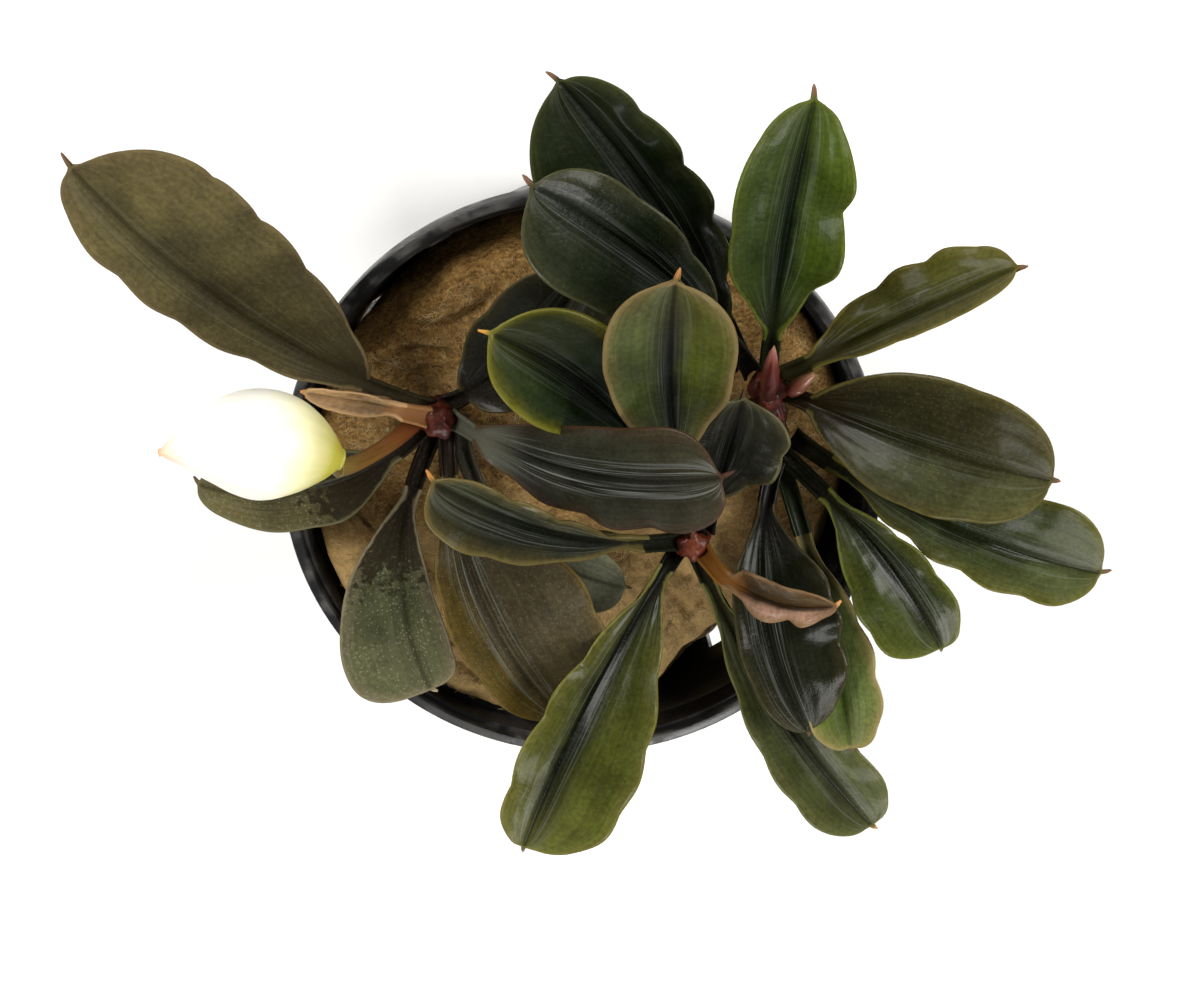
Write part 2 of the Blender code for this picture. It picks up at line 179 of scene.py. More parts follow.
def mixed(tree, share, first, second, how="MIX"):
    """Two colours blended by a share from 0, all the first, to 1."""
    inputs = {0: share, 6: rgba(first), 7: rgba(second)}
    return add_node(tree, "ShaderNodeMix", inputs, data_type="RGBA", blend_type=how).outputs[2]


def stepped(tree, value, low, high, to_low=0.0, to_high=1.0):
    """A smooth step: to_low where value is at low, to_high where it is at high."""
    inputs = {0: value, 1: low, 2: high, 3: to_low, 4: to_high}
    return add_node(tree, "ShaderNodeMapRange", inputs, interpolation_type="SMOOTHSTEP").outputs[0]


def math_node(tree, how, first, second=0.0, third=0.0):
    """One sum of up to three values."""
    return add_node(tree, "ShaderNodeMath", {0: first, 1: second, 2: third}, operation=how).outputs[0]


def product(tree, first, second):
    """Two values multiplied."""
    return math_node(tree, "MULTIPLY", first, second)


def wobbled(tree, value, texture, amount):
    """A value pushed to and fro by a noise."""
    return math_node(tree, "MULTIPLY_ADD", math_node(tree, "SUBTRACT", texture, 0.5), amount, value)


def graded(tree, value, stops):
    """A colour ramp through (place, colour) stops."""
    ramp = add_node(tree, "ShaderNodeValToRGB", {0: value})
    marks = ramp.color_ramp.elements
    while len(marks) < len(stops):
        marks.new(0.5)
    for mark, (place, colour) in zip(marks, stops):
        mark.position = place
        mark.color = (*colour, 1)
    return ramp.outputs[0]


def dimmed(tree, colour, value, dark, light, start=0.32, end=0.68):
    """A colour times a grey that goes from dark to light as value goes from start to end."""
    greys = graded(tree, value, [(start, (dark,) * 3), (end, (light,) * 3)])
    return mixed(tree, 1.0, colour, greys, "MULTIPLY")


def own_place(tree):
    """The piece's own coordinates, in metres."""
    return add_node(tree, "ShaderNodeTexCoord").outputs["Object"]


def own_map(tree):
    """The piece's own flat map."""
    return add_node(tree, "ShaderNodeUVMap", uv_map="UVMap").outputs[0]


def axis_of(tree, vector, axis):
    """One part of a vector: 0 for x, 1 for y and 2 for z."""
    return add_node(tree, "ShaderNodeSeparateXYZ", {0: vector}).outputs[axis]


def stretched(tree, where, x, y, z=1.0):
    """Coordinates scaled by an amount along each axis."""
    return add_node(tree, "ShaderNodeMapping", {"Vector": where, "Scale": (x, y, z)}).outputs[0]


def grain(tree, scale, detail=2.0, where=None):
    """Noise from about 0.3 to 0.7, in the piece's own metres unless told where to look."""
    inputs = {"Vector": where or own_place(tree), "Scale": scale, "Detail": detail}
    return add_node(tree, "ShaderNodeTexNoise", inputs).outputs[0]


def new_finish(name, roughness, **constants):
    """A material and its tree, with the shader's constants set on its own sockets."""
    material = bpy.data.materials.new(name)
    material.use_nodes = True
    shader = material.node_tree.nodes["Principled BSDF"]
    shader.inputs["Roughness"].default_value = roughness
    for socket, value in constants.items():
        shader.inputs[socket.replace("_", " ")].default_value = value
    return material, material.node_tree, shader


def raised(tree, shader, height, depth, strength=1.0):
    """Bump of the given depth in metres."""
    bump = add_node(tree, "ShaderNodeBump", {"Height": height, "Distance": depth, "Strength": strength})
    tree.links.new(bump.outputs[0], shader.inputs["Normal"])


print("helpers for finishes are ready")

# %% [markdown]
# ## Keeping a piece
#
# A new piece needs a mesh, a smooth surface, a body to ride on and the name of the solid that it stands for.
# The plant has no joints, so every piece rides on the one body, root.

# %% Keep a finished piece


def keep(maker, name, finish, stands_for=(), crease=None):
    """Turns a bmesh into a named piece in place of the given solids."""
    mesh = bpy.data.meshes.new(name)
    maker.to_mesh(mesh)
    maker.free()
    mesh.materials.append(finish)
    mesh.shade_smooth()
    if crease:
        mesh.set_sharp_from_angle(angle=math.radians(crease))
    piece = bpy.data.objects.new(name, mesh)
    bpy.context.scene.collection.objects.link(piece)
    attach(piece, "root")
    if stands_for:
        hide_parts(*stands_for)
    print(name, "has", len(mesh.polygons), "faces")
    return piece


# %% [markdown]
# ## The pot
#
# The pot is injection-moulded: a thin tapered wall with a stepped lip, two rows of slots and a slotted
# floor. A round thing with a constant section is quickest as one outline spun about its axis. The slots
# could be left out of the spin, but cutting them with boxes keeps the outline simple, and a Boolean gives
# clean corners.

# %% Pot: outline and spin
RIM_RADIUS = 25.0
LIP_WIDTH = 1.0
STEP_DROP = 0.7
STEP_WIDTH = 0.4
POT_HEIGHT = 45.0
WALL = 0.9
WALL_TOP_RADIUS = 24.5
WALL_FOOT_RADIUS = 17.1
LIP_SKIRT = 1.8
SLOTS = 16
SLOT_WIDTH = 2.2
SLOT_ROWS = ((6.0, 19.0), (21.5, 35.5))
FLOOR_HUB = 7.5
FLOOR_RING = 14.0
POT_STEPS = 144
SHOULDER_DROP = 3.4  # from the rim down to a ring inside the wall, where the core of the mould ended
SHOULDER_WIDTH = 0.22


def wall_radius(height):
    """Outer radius of the wall at a height."""
    share = height / (POT_HEIGHT - LIP_SKIRT)
    return WALL_FOOT_RADIUS + (WALL_TOP_RADIUS - WALL_FOOT_RADIUS) * share


def pot_outline():
    """Points from the floor's inside up over the lip and down to the underside, as (radius, height)."""
    foot_in = WALL_FOOT_RADIUS - WALL
    lip_in = RIM_RADIUS - LIP_WIDTH
    step_in = lip_in - STEP_WIDTH
    step = POT_HEIGHT - STEP_DROP
    skirt = POT_HEIGHT - LIP_SKIRT
    ring = POT_HEIGHT - SHOULDER_DROP
    ring_in = wall_radius(ring) - WALL
    points = [(0, WALL), (foot_in - 0.6, WALL), (foot_in, WALL + 0.5)]
    points += [(ring_in, ring - 0.15), (ring_in + SHOULDER_WIDTH, ring + 0.15)]
    points += [(step_in, step - 0.12), (step_in + 0.12, step), (lip_in - 0.05, step), (lip_in, step + 0.08)]
    points += [(lip_in, POT_HEIGHT - 0.14), (lip_in + 0.14, POT_HEIGHT), (RIM_RADIUS - 0.3, POT_HEIGHT)]
    points += [(RIM_RADIUS - 0.09, POT_HEIGHT - 0.09), (RIM_RADIUS, POT_HEIGHT - 0.3)]
    points += [(RIM_RADIUS, skirt + 0.1), (RIM_RADIUS - 0.1, skirt), (WALL_TOP_RADIUS, skirt)]
    return points + [(WALL_FOOT_RADIUS, 0.25), (WALL_FOOT_RADIUS - 0.3, 0), (0, 0)]


def spun(points, steps):
    """An outline of (radius, height) points in millimetres, spun once round the Z axis."""
    maker = bmesh.new()
    line = [maker.verts.new((r * MM, 0, z * MM)) for r, z in points]
    edges = [maker.edges.new(pair) for pair in zip(line, line[1:])]
    turn = {"cent": (0, 0, 0), "axis": (0, 0, 1), "angle": math.tau, "steps": steps}
    bmesh.ops.spin(maker, geom=line + edges, use_merge=True, **turn)
    bmesh.ops.remove_doubles(maker, verts=maker.verts, dist=MM / 1000)
    bmesh.ops.recalc_face_normals(maker, faces=maker.faces)
    return maker


pot_maker = spun(pot_outline(), POT_STEPS)
print("the pot's outline has", len(pot_outline()), "points and makes", len(pot_maker.faces), "faces")

# %% Pot: cut the slots
CUT_DEPTH = 6.0


def slot_boxes():
    """Boxes through the wall in two rows, and spokes through the floor."""
    boxes = bmesh.new()
    rows = [(low, high, wall_radius((low + high) / 2), CUT_DEPTH) for low, high in SLOT_ROWS]
    rows.append((-WALL, 2 * WALL, (FLOOR_HUB + FLOOR_RING) / 2, FLOOR_RING - FLOOR_HUB))
    for low, high, radius, depth in rows:
        for k in range(SLOTS):
            turn = Matrix.Rotation(math.tau * (k + 0.5) / SLOTS, 4, "Z")
            place = turn @ Matrix.Translation(Vector((radius, 0, (low + high) / 2)) * MM)
            size = Matrix.Diagonal((depth * MM, SLOT_WIDTH * MM, (high - low) * MM, 1))
            bmesh.ops.create_cube(boxes, size=1, matrix=place @ size)
    return boxes


def cut(maker, tool):
    """The first mesh with the second taken away, both freed."""
    pair = []
    for part in (maker, tool):
        mesh = bpy.data.meshes.new("cutting")
        part.to_mesh(mesh)
        part.free()
        pair.append(bpy.data.objects.new("cutting", mesh))
        bpy.context.scene.collection.objects.link(pair[-1])
    knife = pair[0].modifiers.new("knife", "BOOLEAN")
    knife.object = pair[1]
    result = bmesh.new()
    result.from_object(pair[0], bpy.context.evaluated_depsgraph_get())
    for part in pair:
        bpy.data.objects.remove(part)
    return result


pot_maker = cut(pot_maker, slot_boxes())
print("with", 3 * SLOTS, "slots cut the pot has", len(pot_maker.faces), "faces")

# %% [markdown]
# The plastic is black and satin. It looks plain until it is close: moulding leaves faint rings, handling
# leaves hair scratches along them, and dried water leaves a faint grey bloom in patches. On the lip's top
# the grey is strong, partly bloom and partly painted sheen of the light on the rim. Rings follow the
# height, so a noise that is squashed along Z draws them.

# %% Pot: black moulded plastic
PLASTIC = (0.007, 0.007, 0.008)
# Grey bloom in patches, which on the lip's top is also painted sheen
BLOOM_AND_SHEEN = (0.060, 0.058, 0.052)


def pot_plastic():
    material, tree, shader = new_finish("black plastic", 0.42)
    where = own_place(tree)
    rings = grain(tree, 1.0, 3, stretched(tree, where, 60, 60, 2600))
    bloom = stepped(tree, grain(tree, 420, 4), 0.45, 0.7)
    # The lip's top takes the grey at full strength: painted sheen where light catches the rim, over the bloom
    bloom_and_lip_sheen = stepped(tree, axis_of(tree, where, 2), 44.0 * MM, 44.9 * MM, 0.12, 1.0)
    tree.links.new(mixed(tree, product(tree, bloom, bloom_and_lip_sheen), PLASTIC, BLOOM_AND_SHEEN), shader.inputs[0])
    worn = math_node(tree, "ADD", rings, bloom)
    tree.links.new(stepped(tree, worn, 0.3, 1.4, 0.3, 0.62), shader.inputs["Roughness"])
    raised(tree, shader, math_node(tree, "ADD", rings, grain(tree, 3000, 2)), 0.03 * MM, 0.6)
    return material


keep(pot_maker, "pot_shell", pot_plastic(), ["pot"], crease=32)

# %% [markdown]
# ## The mineral wool
#
# The wool is a matted plug: soft folds like felt, a ragged edge that keeps off the wall at the back and at
# the lower right, and stray fibres that catch the light. A spun outline gives the closed form. Its points
# are then moved by a formula: a reach that changes round the edge, broad lumps, and creases drawn as bowed
# lines.

# %% Wool: the form
GAP = 0.35
WOOL_TOP = 42.3
WOOL_FOOT = 1.4
WOOL_STEPS = 300
WOOL_RINGS = 104
SIDE_ROWS = 34
EDGE_DROP = 0.8
WOOL_REACH = (21.4, 22.2, 22.6, 22.4, 21.0, 19.8, 20.2, 19.6, 22.2)
WOOL_REACH += (22.7, 22.8, 22.6, 22.8, 22.5, 22.0, 18.6, 18.2, 20.6)
Lump = namedtuple("Lump", "x y width rise")
WOOL_LUMPS = (
    Lump(-19.0, -8.0, 6.0, 1.3),
    Lump(-10.0, -18.0, 7.0, 0.9),
    Lump(-11.0, 12.0, 5.0, 0.8),
    Lump(-4.0, 8.0, 2.4, -1.1),
    Lump(17.0, 9.0, 5.0, 0.9),
    Lump(12.0, -14.0, 5.0, -1.0),
    Lump(2.0, -3.0, 4.0, -0.6),
)
# A crease is a bowed line with a fold of felt standing up along its left side
Crease = namedtuple("Crease", "start end bow depth width")
WOOL_CREASES = (
    Crease((-17.5, 14.0), (-7.5, 15.5), -1.6, 1.0, 0.55),
    Crease((-17.0, 10.0), (-8.5, 9.5), 1.4, 0.7, 0.5),
    Crease((-21.5, -1.5), (-16.5, -9.0), 1.2, 0.9, 0.5),
    Crease((-12.0, -16.0), (-3.0, -19.5), -1.0, 0.7, 0.5),
    Crease((-4.5, -10.0), (3.5, -7.0), 0.8, 0.6, 0.45),
    Crease((5.0, -9.0), (10.0, -14.5), 0.8, 0.5, 0.45),
    Crease((14.5, 3.5), (21.0, 0.5), 0.6, 0.6, 0.45),
    Crease((11.0, 16.0), (17.5, 13.5), 0.8, 0.6, 0.5),
)
noise.seed_set(3)  # without a seed noise_vector starts from the clock, and the folds would differ in each run


def wool_reach(angle):
    """How far the plug's upper edge reaches, eased between the reaches given and frayed a little."""
    place = (math.degrees(angle) % 360) / 360 * len(WOOL_REACH)
    low = int(place) % len(WOOL_REACH)
    share = (1 - math.cos(math.pi * (place - int(place)))) / 2
    even = WOOL_REACH[low] * (1 - share) + WOOL_REACH[(low + 1) % len(WOOL_REACH)] * share
    return even + 0.45 * noise.noise(Vector((math.cos(angle), math.sin(angle), 0)) * 7)


def crease_rise(x, y, crease):
    """The cut of a crease and the fold beside it, fading out at both ends."""
    start, end = Vector(crease.start), Vector(crease.end)
    along = (end - start).normalized()
    place = Vector((x, y)) - start
    share = place.dot(along) / (end - start).length
    if not -0.1 < share < 1.1:
        return 0.0
    offset = place.dot(Vector((-along.y, along.x))) - crease.bow * 4 * share * (1 - share)
    fade = max(0.0, math.sin(math.pi * (share + 0.1) / 1.2)) ** 0.6
    groove = crease.depth * math.exp(-((offset / crease.width) ** 2))
    fold = 0.55 * crease.depth * math.exp(-(((offset - 1.5 * crease.width) / (1.6 * crease.width)) ** 2))
    return fade * (fold - groove)


def wool_height(x, y):
    """Height of the felted upper face."""
    height = WOOL_TOP
    for lump in WOOL_LUMPS:
        height += lump.rise * math.exp(-((math.hypot(x - lump.x, y - lump.y) / lump.width) ** 2))
    for crease in WOOL_CREASES:
        height += crease_rise(x, y, crease)
    warp = noise.noise_vector(Vector((x, y, 3.0)) * 0.12)
    folds = 1 - abs(noise.noise(Vector((x * 0.16, y * 0.22, 0)) + warp))
    height += 0.5 * folds**3 + 0.22 * noise.noise(Vector((x, y, 8.0)) * 0.7)
    return height + 0.09 * noise.noise(Vector((x, y, 1.0)) * 2.2)


def wool_outline():
    """A plain can: up the side, then over the top to the middle."""
    side = [(WALL_FOOT_RADIUS, WOOL_FOOT + (WOOL_TOP - WOOL_FOOT) * k / SIDE_ROWS) for k in range(SIDE_ROWS)]
    top = [(WALL_FOOT_RADIUS * (1 - k / WOOL_RINGS), WOOL_TOP + 1) for k in range(WOOL_RINGS + 1)]
    return [(0, WOOL_FOOT)] + side + top


def wool_place(point):
    """Where a point of the plain can goes, in metres."""
    angle = math.atan2(point.y, point.x)
    flat, height = math.hypot(point.x, point.y) / MM, point.z / MM
    ray = Vector((math.cos(angle), math.sin(angle)))
    if height > WOOL_TOP + 0.5:
        share = flat / WALL_FOOT_RADIUS
        place = ray * wool_reach(angle) * share
        height = wool_height(*place) - EDGE_DROP * max(0.0, (share - 0.86) / 0.14) ** 2
    elif flat > 1:
        drop = WOOL_TOP - height
        loose = wool_reach(angle) + 0.4 * math.sqrt(drop) + 0.35 * max(0.0, drop - 1.5)
        rough = 0.12 * noise.noise(Vector((*ray, height * 0.08)) * 12)
        place = ray * min(wall_radius(height) - WALL - GAP, loose + rough)
        edge = wool_height(*(ray * wool_reach(angle))) - EDGE_DROP
        height = WOOL_FOOT + (height - WOOL_FOOT) / (WOOL_TOP - WOOL_FOOT) * (edge - WOOL_FOOT)
    else:
        place = ray * flat
    return Vector((*place, height)) * MM


wool_maker = spun(wool_outline(), WOOL_STEPS)
for vert in wool_maker.verts:
    vert.co = wool_place(vert.co)
print("the wool has", len(wool_maker.faces), "faces and", len(WOOL_CREASES), "creases")

# %% [markdown]
# The wool's colour runs from wet brown in patches to pale beige where it has dried, more of it towards the
# front. A noise whose coordinates are bent by a second noise stands for the matted fibres too small to
# model.

# %% Wool: matted brown fibre
WET_WOOL = (0.090, 0.042, 0.009)
WOOL = (0.225, 0.122, 0.031)
PALE_WOOL = (0.43, 0.26, 0.085)
DRY_WOOL = (0.56, 0.38, 0.155)
SWIRL = 3 * MM  # how far the second noise bends the first


def wool_finish():
    material, tree, shader = new_finish("mineral wool", 0.85, Specular_IOR_Level=0.25)
    where = own_place(tree)
    swirl = add_node(tree, "ShaderNodeTexNoise", {"Vector": where, "Scale": 330.0, "Detail": 2.0}).outputs[1]
    bend = {0: swirl, 1: (SWIRL,) * 3, 2: where}
    bent = add_node(tree, "ShaderNodeVectorMath", bend, operation="MULTIPLY_ADD").outputs[0]
    strands = grain(tree, 1.0, 5, stretched(tree, bent, 1100, 2600, 2000))
    fuzz = product(tree, math_node(tree, "ADD", strands, grain(tree, 4200, 3)), 0.5)
    cloud = grain(tree, 140, 3)
    colour = graded(tree, fuzz, [(0.36, WET_WOOL), (0.5, WOOL), (0.66, PALE_WOOL)])
    dry = math_node(tree, "MULTIPLY_ADD", axis_of(tree, where, 1), -40.0, cloud)
    colour = mixed(tree, stepped(tree, dry, 0.45, 1.1, 0.0, 0.75), colour, DRY_WOOL)
    colour = mixed(tree, stepped(tree, cloud, 0.36, 0.55, 0.35, 0.0), colour, WET_WOOL)
    tree.links.new(colour, shader.inputs[0])
    raised(tree, shader, fuzz, 0.22 * MM, 0.8)
    return material


keep(wool_maker, "wool_felt", wool_finish(), ["wool_plug"])

# %% [markdown]
# Loose fibres could be hair, but hair isn't exported. A curve with thousands of short splines and a round
# bevel, turned into one mesh, gives the same look as plain geometry. Each fibre lies close to the felt and
# bends a little.

# %% Wool: loose fibres
FIBRES = 7000
FIBRE_LENGTH = (0.5, 2.0)
FIBRE_RADIUS = 0.011
FIBRE_BENDS = 3
FIBRE_REST = 0.04  # how far above the felt a fibre lies
DARK_FIBRE = (0.16, 0.10, 0.03)
PALE_FIBRE = (0.62, 0.48, 0.24)


def fibre_route(draw):
    """Points of one bent fibre that lies on the felt and lifts at one end."""
    angle = draw.uniform(0, math.tau)
    spread = wool_reach(angle) * math.sqrt(draw.uniform(0.02, 1.0)) * 0.985
    x, y = spread * math.cos(angle), spread * math.sin(angle)
    heading = draw.uniform(0, math.tau)
    length = draw.uniform(*FIBRE_LENGTH)
    lift = draw.uniform(0.0, 0.28) ** 2
    curl = draw.gauss(0, 0.35)
    route = []
    for k in range(FIBRE_BENDS + 1):
        route.append((x, y, wool_height(x, y) + FIBRE_REST + lift * k * length / 3))
        x += math.cos(heading) * length / FIBRE_BENDS
        y += math.sin(heading) * length / FIBRE_BENDS
        heading += curl
    inside = all(math.hypot(px, py) < wool_reach(math.atan2(py, px)) - 0.1 for px, py, _ in route)
    return route if inside else None


def fibre_mat():
    """All the fibres as one mesh."""
    draw = random.Random(7)
    strands = bpy.data.curves.new("fibres", "CURVE")
    strands.dimensions = "3D"
    strands.bevel_depth = FIBRE_RADIUS * MM
    strands.bevel_resolution = 0
    strands.use_fill_caps = True
    for _ in range(FIBRES):
        route = fibre_route(draw)
        if route:
            spline = strands.splines.new("POLY")
            spline.points.add(len(route) - 1)
            for point, place in zip(spline.points, route):
                point.co = (*(Vector(place) * MM), 1)
    holder = bpy.data.objects.new("fibres", strands)
    bpy.context.scene.collection.objects.link(holder)
    tubes = bpy.data.meshes.new_from_object(holder.evaluated_get(bpy.context.evaluated_depsgraph_get()))
    bpy.data.objects.remove(holder)
    maker = bmesh.new()
    maker.from_mesh(tubes)
    bmesh.ops.remove_doubles(maker, verts=maker.verts, dist=MM / 1000)
    bmesh.ops.recalc_face_normals(maker, faces=maker.faces)
    return maker


def fibre_finish():
    material, tree, shader = new_finish("loose fibre", 0.45)
    tone = stepped(tree, grain(tree, 900, 1), 0.35, 0.65)
    tree.links.new(mixed(tree, tone, DARK_FIBRE, PALE_FIBRE), shader.inputs[0])
    return material


keep(fibre_mat(), "wool_fibres", fibre_finish())

# %% [markdown]
# ## Rods
#
# Stems, buds, the flower's stalk and the closed flower are all rods: a ring that changes its size along a
# route. A grid is already a sheet with rows and columns, so it is rolled up: its columns go round and its
# rows go along, and merging the two edges that meet closes it.

# %% Rod helpers


def direction(heading, lift):
    """Unit vector at a compass heading and a lift above the horizontal, in degrees."""
    h, e = math.radians(heading), math.radians(lift)
    return Vector((math.cos(e) * math.cos(h), math.cos(e) * math.sin(h), math.sin(e)))


def smooth_point(points, share):
    """The point at a share of a Catmull-Rom curve through the given points."""
    ends = [points[0], *points, points[-1]]
    place = min(share * (len(points) - 1), len(points) - 1 - 1e-6)
    i, t = int(place), place - int(place)
    a, b, c, d = (Vector(p) for p in ends[i : i + 4])
    slope, curve, twist = c - a, 2 * a - 5 * b + 4 * c - d, 3 * b - a - 3 * c + d
    return b + (slope * t + curve * t**2 + twist * t**3) / 2


def rod(points, radius_at, sides, rows):
    """A rolled-up grid along a route; radius_at takes (share along, angle round) and gives millimetres."""
    maker = bmesh.new()
    maker.loops.layers.uv.new("UVMap")
    bmesh.ops.create_grid(maker, x_segments=sides, y_segments=rows, size=1, calc_uvs=True)
    for vert in maker.verts:
        share, angle = (vert.co.y + 1) / 2, math.pi * (vert.co.x + 1)
        before, after = smooth_point(points, max(share - 0.02, 0)), smooth_point(points, min(share + 0.02, 1))
        forward = (after - before).normalized()
        right = forward.cross(Vector((1, 0, 0)) if abs(forward.x) < 0.8 else Vector((0, 1, 0))).normalized()
        ray = right * math.cos(angle) + right.cross(forward) * math.sin(angle)
        vert.co = (smooth_point(points, share) + ray * radius_at(share, angle)) * MM
    bmesh.ops.remove_doubles(maker, verts=maker.verts, dist=MM / 2000)
    bmesh.ops.recalc_face_normals(maker, faces=maker.faces)
    return maker


trial = rod([(0, 0, 0), (0, 0, 9)], lambda share, angle: 1.0, 8, 4)
print("a rod of 8 sides and 4 rows has", len(trial.faces), "faces")
trial.free()

# %% [markdown]
# ## The creeping stems
#
# Each stem is short, brick red to maroon, and knobbly: every fallen leaf leaves a scar that runs round it,
# and dry sheaths cling between them. A rod whose radius swells at each scar and is roughened by noise has
# all of that.

# %% Stems
CROWN_RADIUS = 1.3
CROWNS = {
    "left": ((-11.7, 6.2, 43.3), (-11.6, 6.4, 45.5), (-11.5, 6.5, 48.6)),
    "right": ((15.2, 6.2, 43.4), (15.8, 4.2, 45.9), (15.5, 6.6, 46.9), (15.0, 9.0, 47.3), (13.6, 9.8, 47.0)),
    "front": ((9.3, -4.3, 43.1), (9.2, -4.3, 45.5), (9.1, -4.1, 48.8)),
}
CROWN_TONES = {
    "left": ((0.016, 0.003, 0.002), (0.070, 0.013, 0.006)),
    "right": ((0.014, 0.003, 0.002), (0.075, 0.012, 0.008)),
    "front": ((0.022, 0.004, 0.002), (0.115, 0.022, 0.008)),
}
PALE_STEM = (0.17, 0.04, 0.016)
SCARS = 5


def crown_radius(share, angle, seed):
    """Swollen between its scars, roughened, and closed over at both ends."""
    scar = abs(math.sin(math.pi * SCARS * share + 0.4 * math.sin(angle + seed)))
    knob = 0.42 * noise.noise(Vector((math.cos(angle) * 1.5, math.sin(angle) * 1.5, share * 8 + seed)))
    close = math.sqrt(max(0.0, 1 - (2 * share - 1) ** 8))
    return CROWN_RADIUS * (0.86 + 0.16 * scar**0.6 + knob) * close


def stem_finish(name, tones):
    material, tree, shader = new_finish(name, 0.42, Coat_Weight=0.12, Specular_IOR_Level=0.15)
    patch = grain(tree, 700, 4)
    fine = grain(tree, 4200, 3)
    colour = graded(tree, patch, [(0.36, tones[0]), (0.52, tones[1]), (0.74, PALE_STEM)])
    tree.links.new(mixed(tree, stepped(tree, fine, 0.45, 0.62, 0.4, 0.0), colour, tones[0]), shader.inputs[0])
    raised(tree, shader, math_node(tree, "ADD", patch, fine), 0.12 * MM, 0.7)
    return material


for number, (side, route) in enumerate(CROWNS.items()):
    stem = rod(route, lambda s, a, n=number: crown_radius(s, a, 9.0 * n), 40, 64)
    keep(stem, f"{side}_stem", stem_finish(f"{side} stem", CROWN_TONES[side]), [f"crown_{side}"])

# %% [markdown]
# ## The leaves
#
# A leaf is a channelled stalk that opens into a blade. The blade has a sunken midrib with a keel below it,
# three ribs each side that meet at both ends, waves along its margins, and a small hooked point. A flat grid
# follows all of this with one formula: its columns run from margin to margin and its rows from the stem to
# the tip. Solidify then gives it a thickness, which a vertex group thins towards the margins.

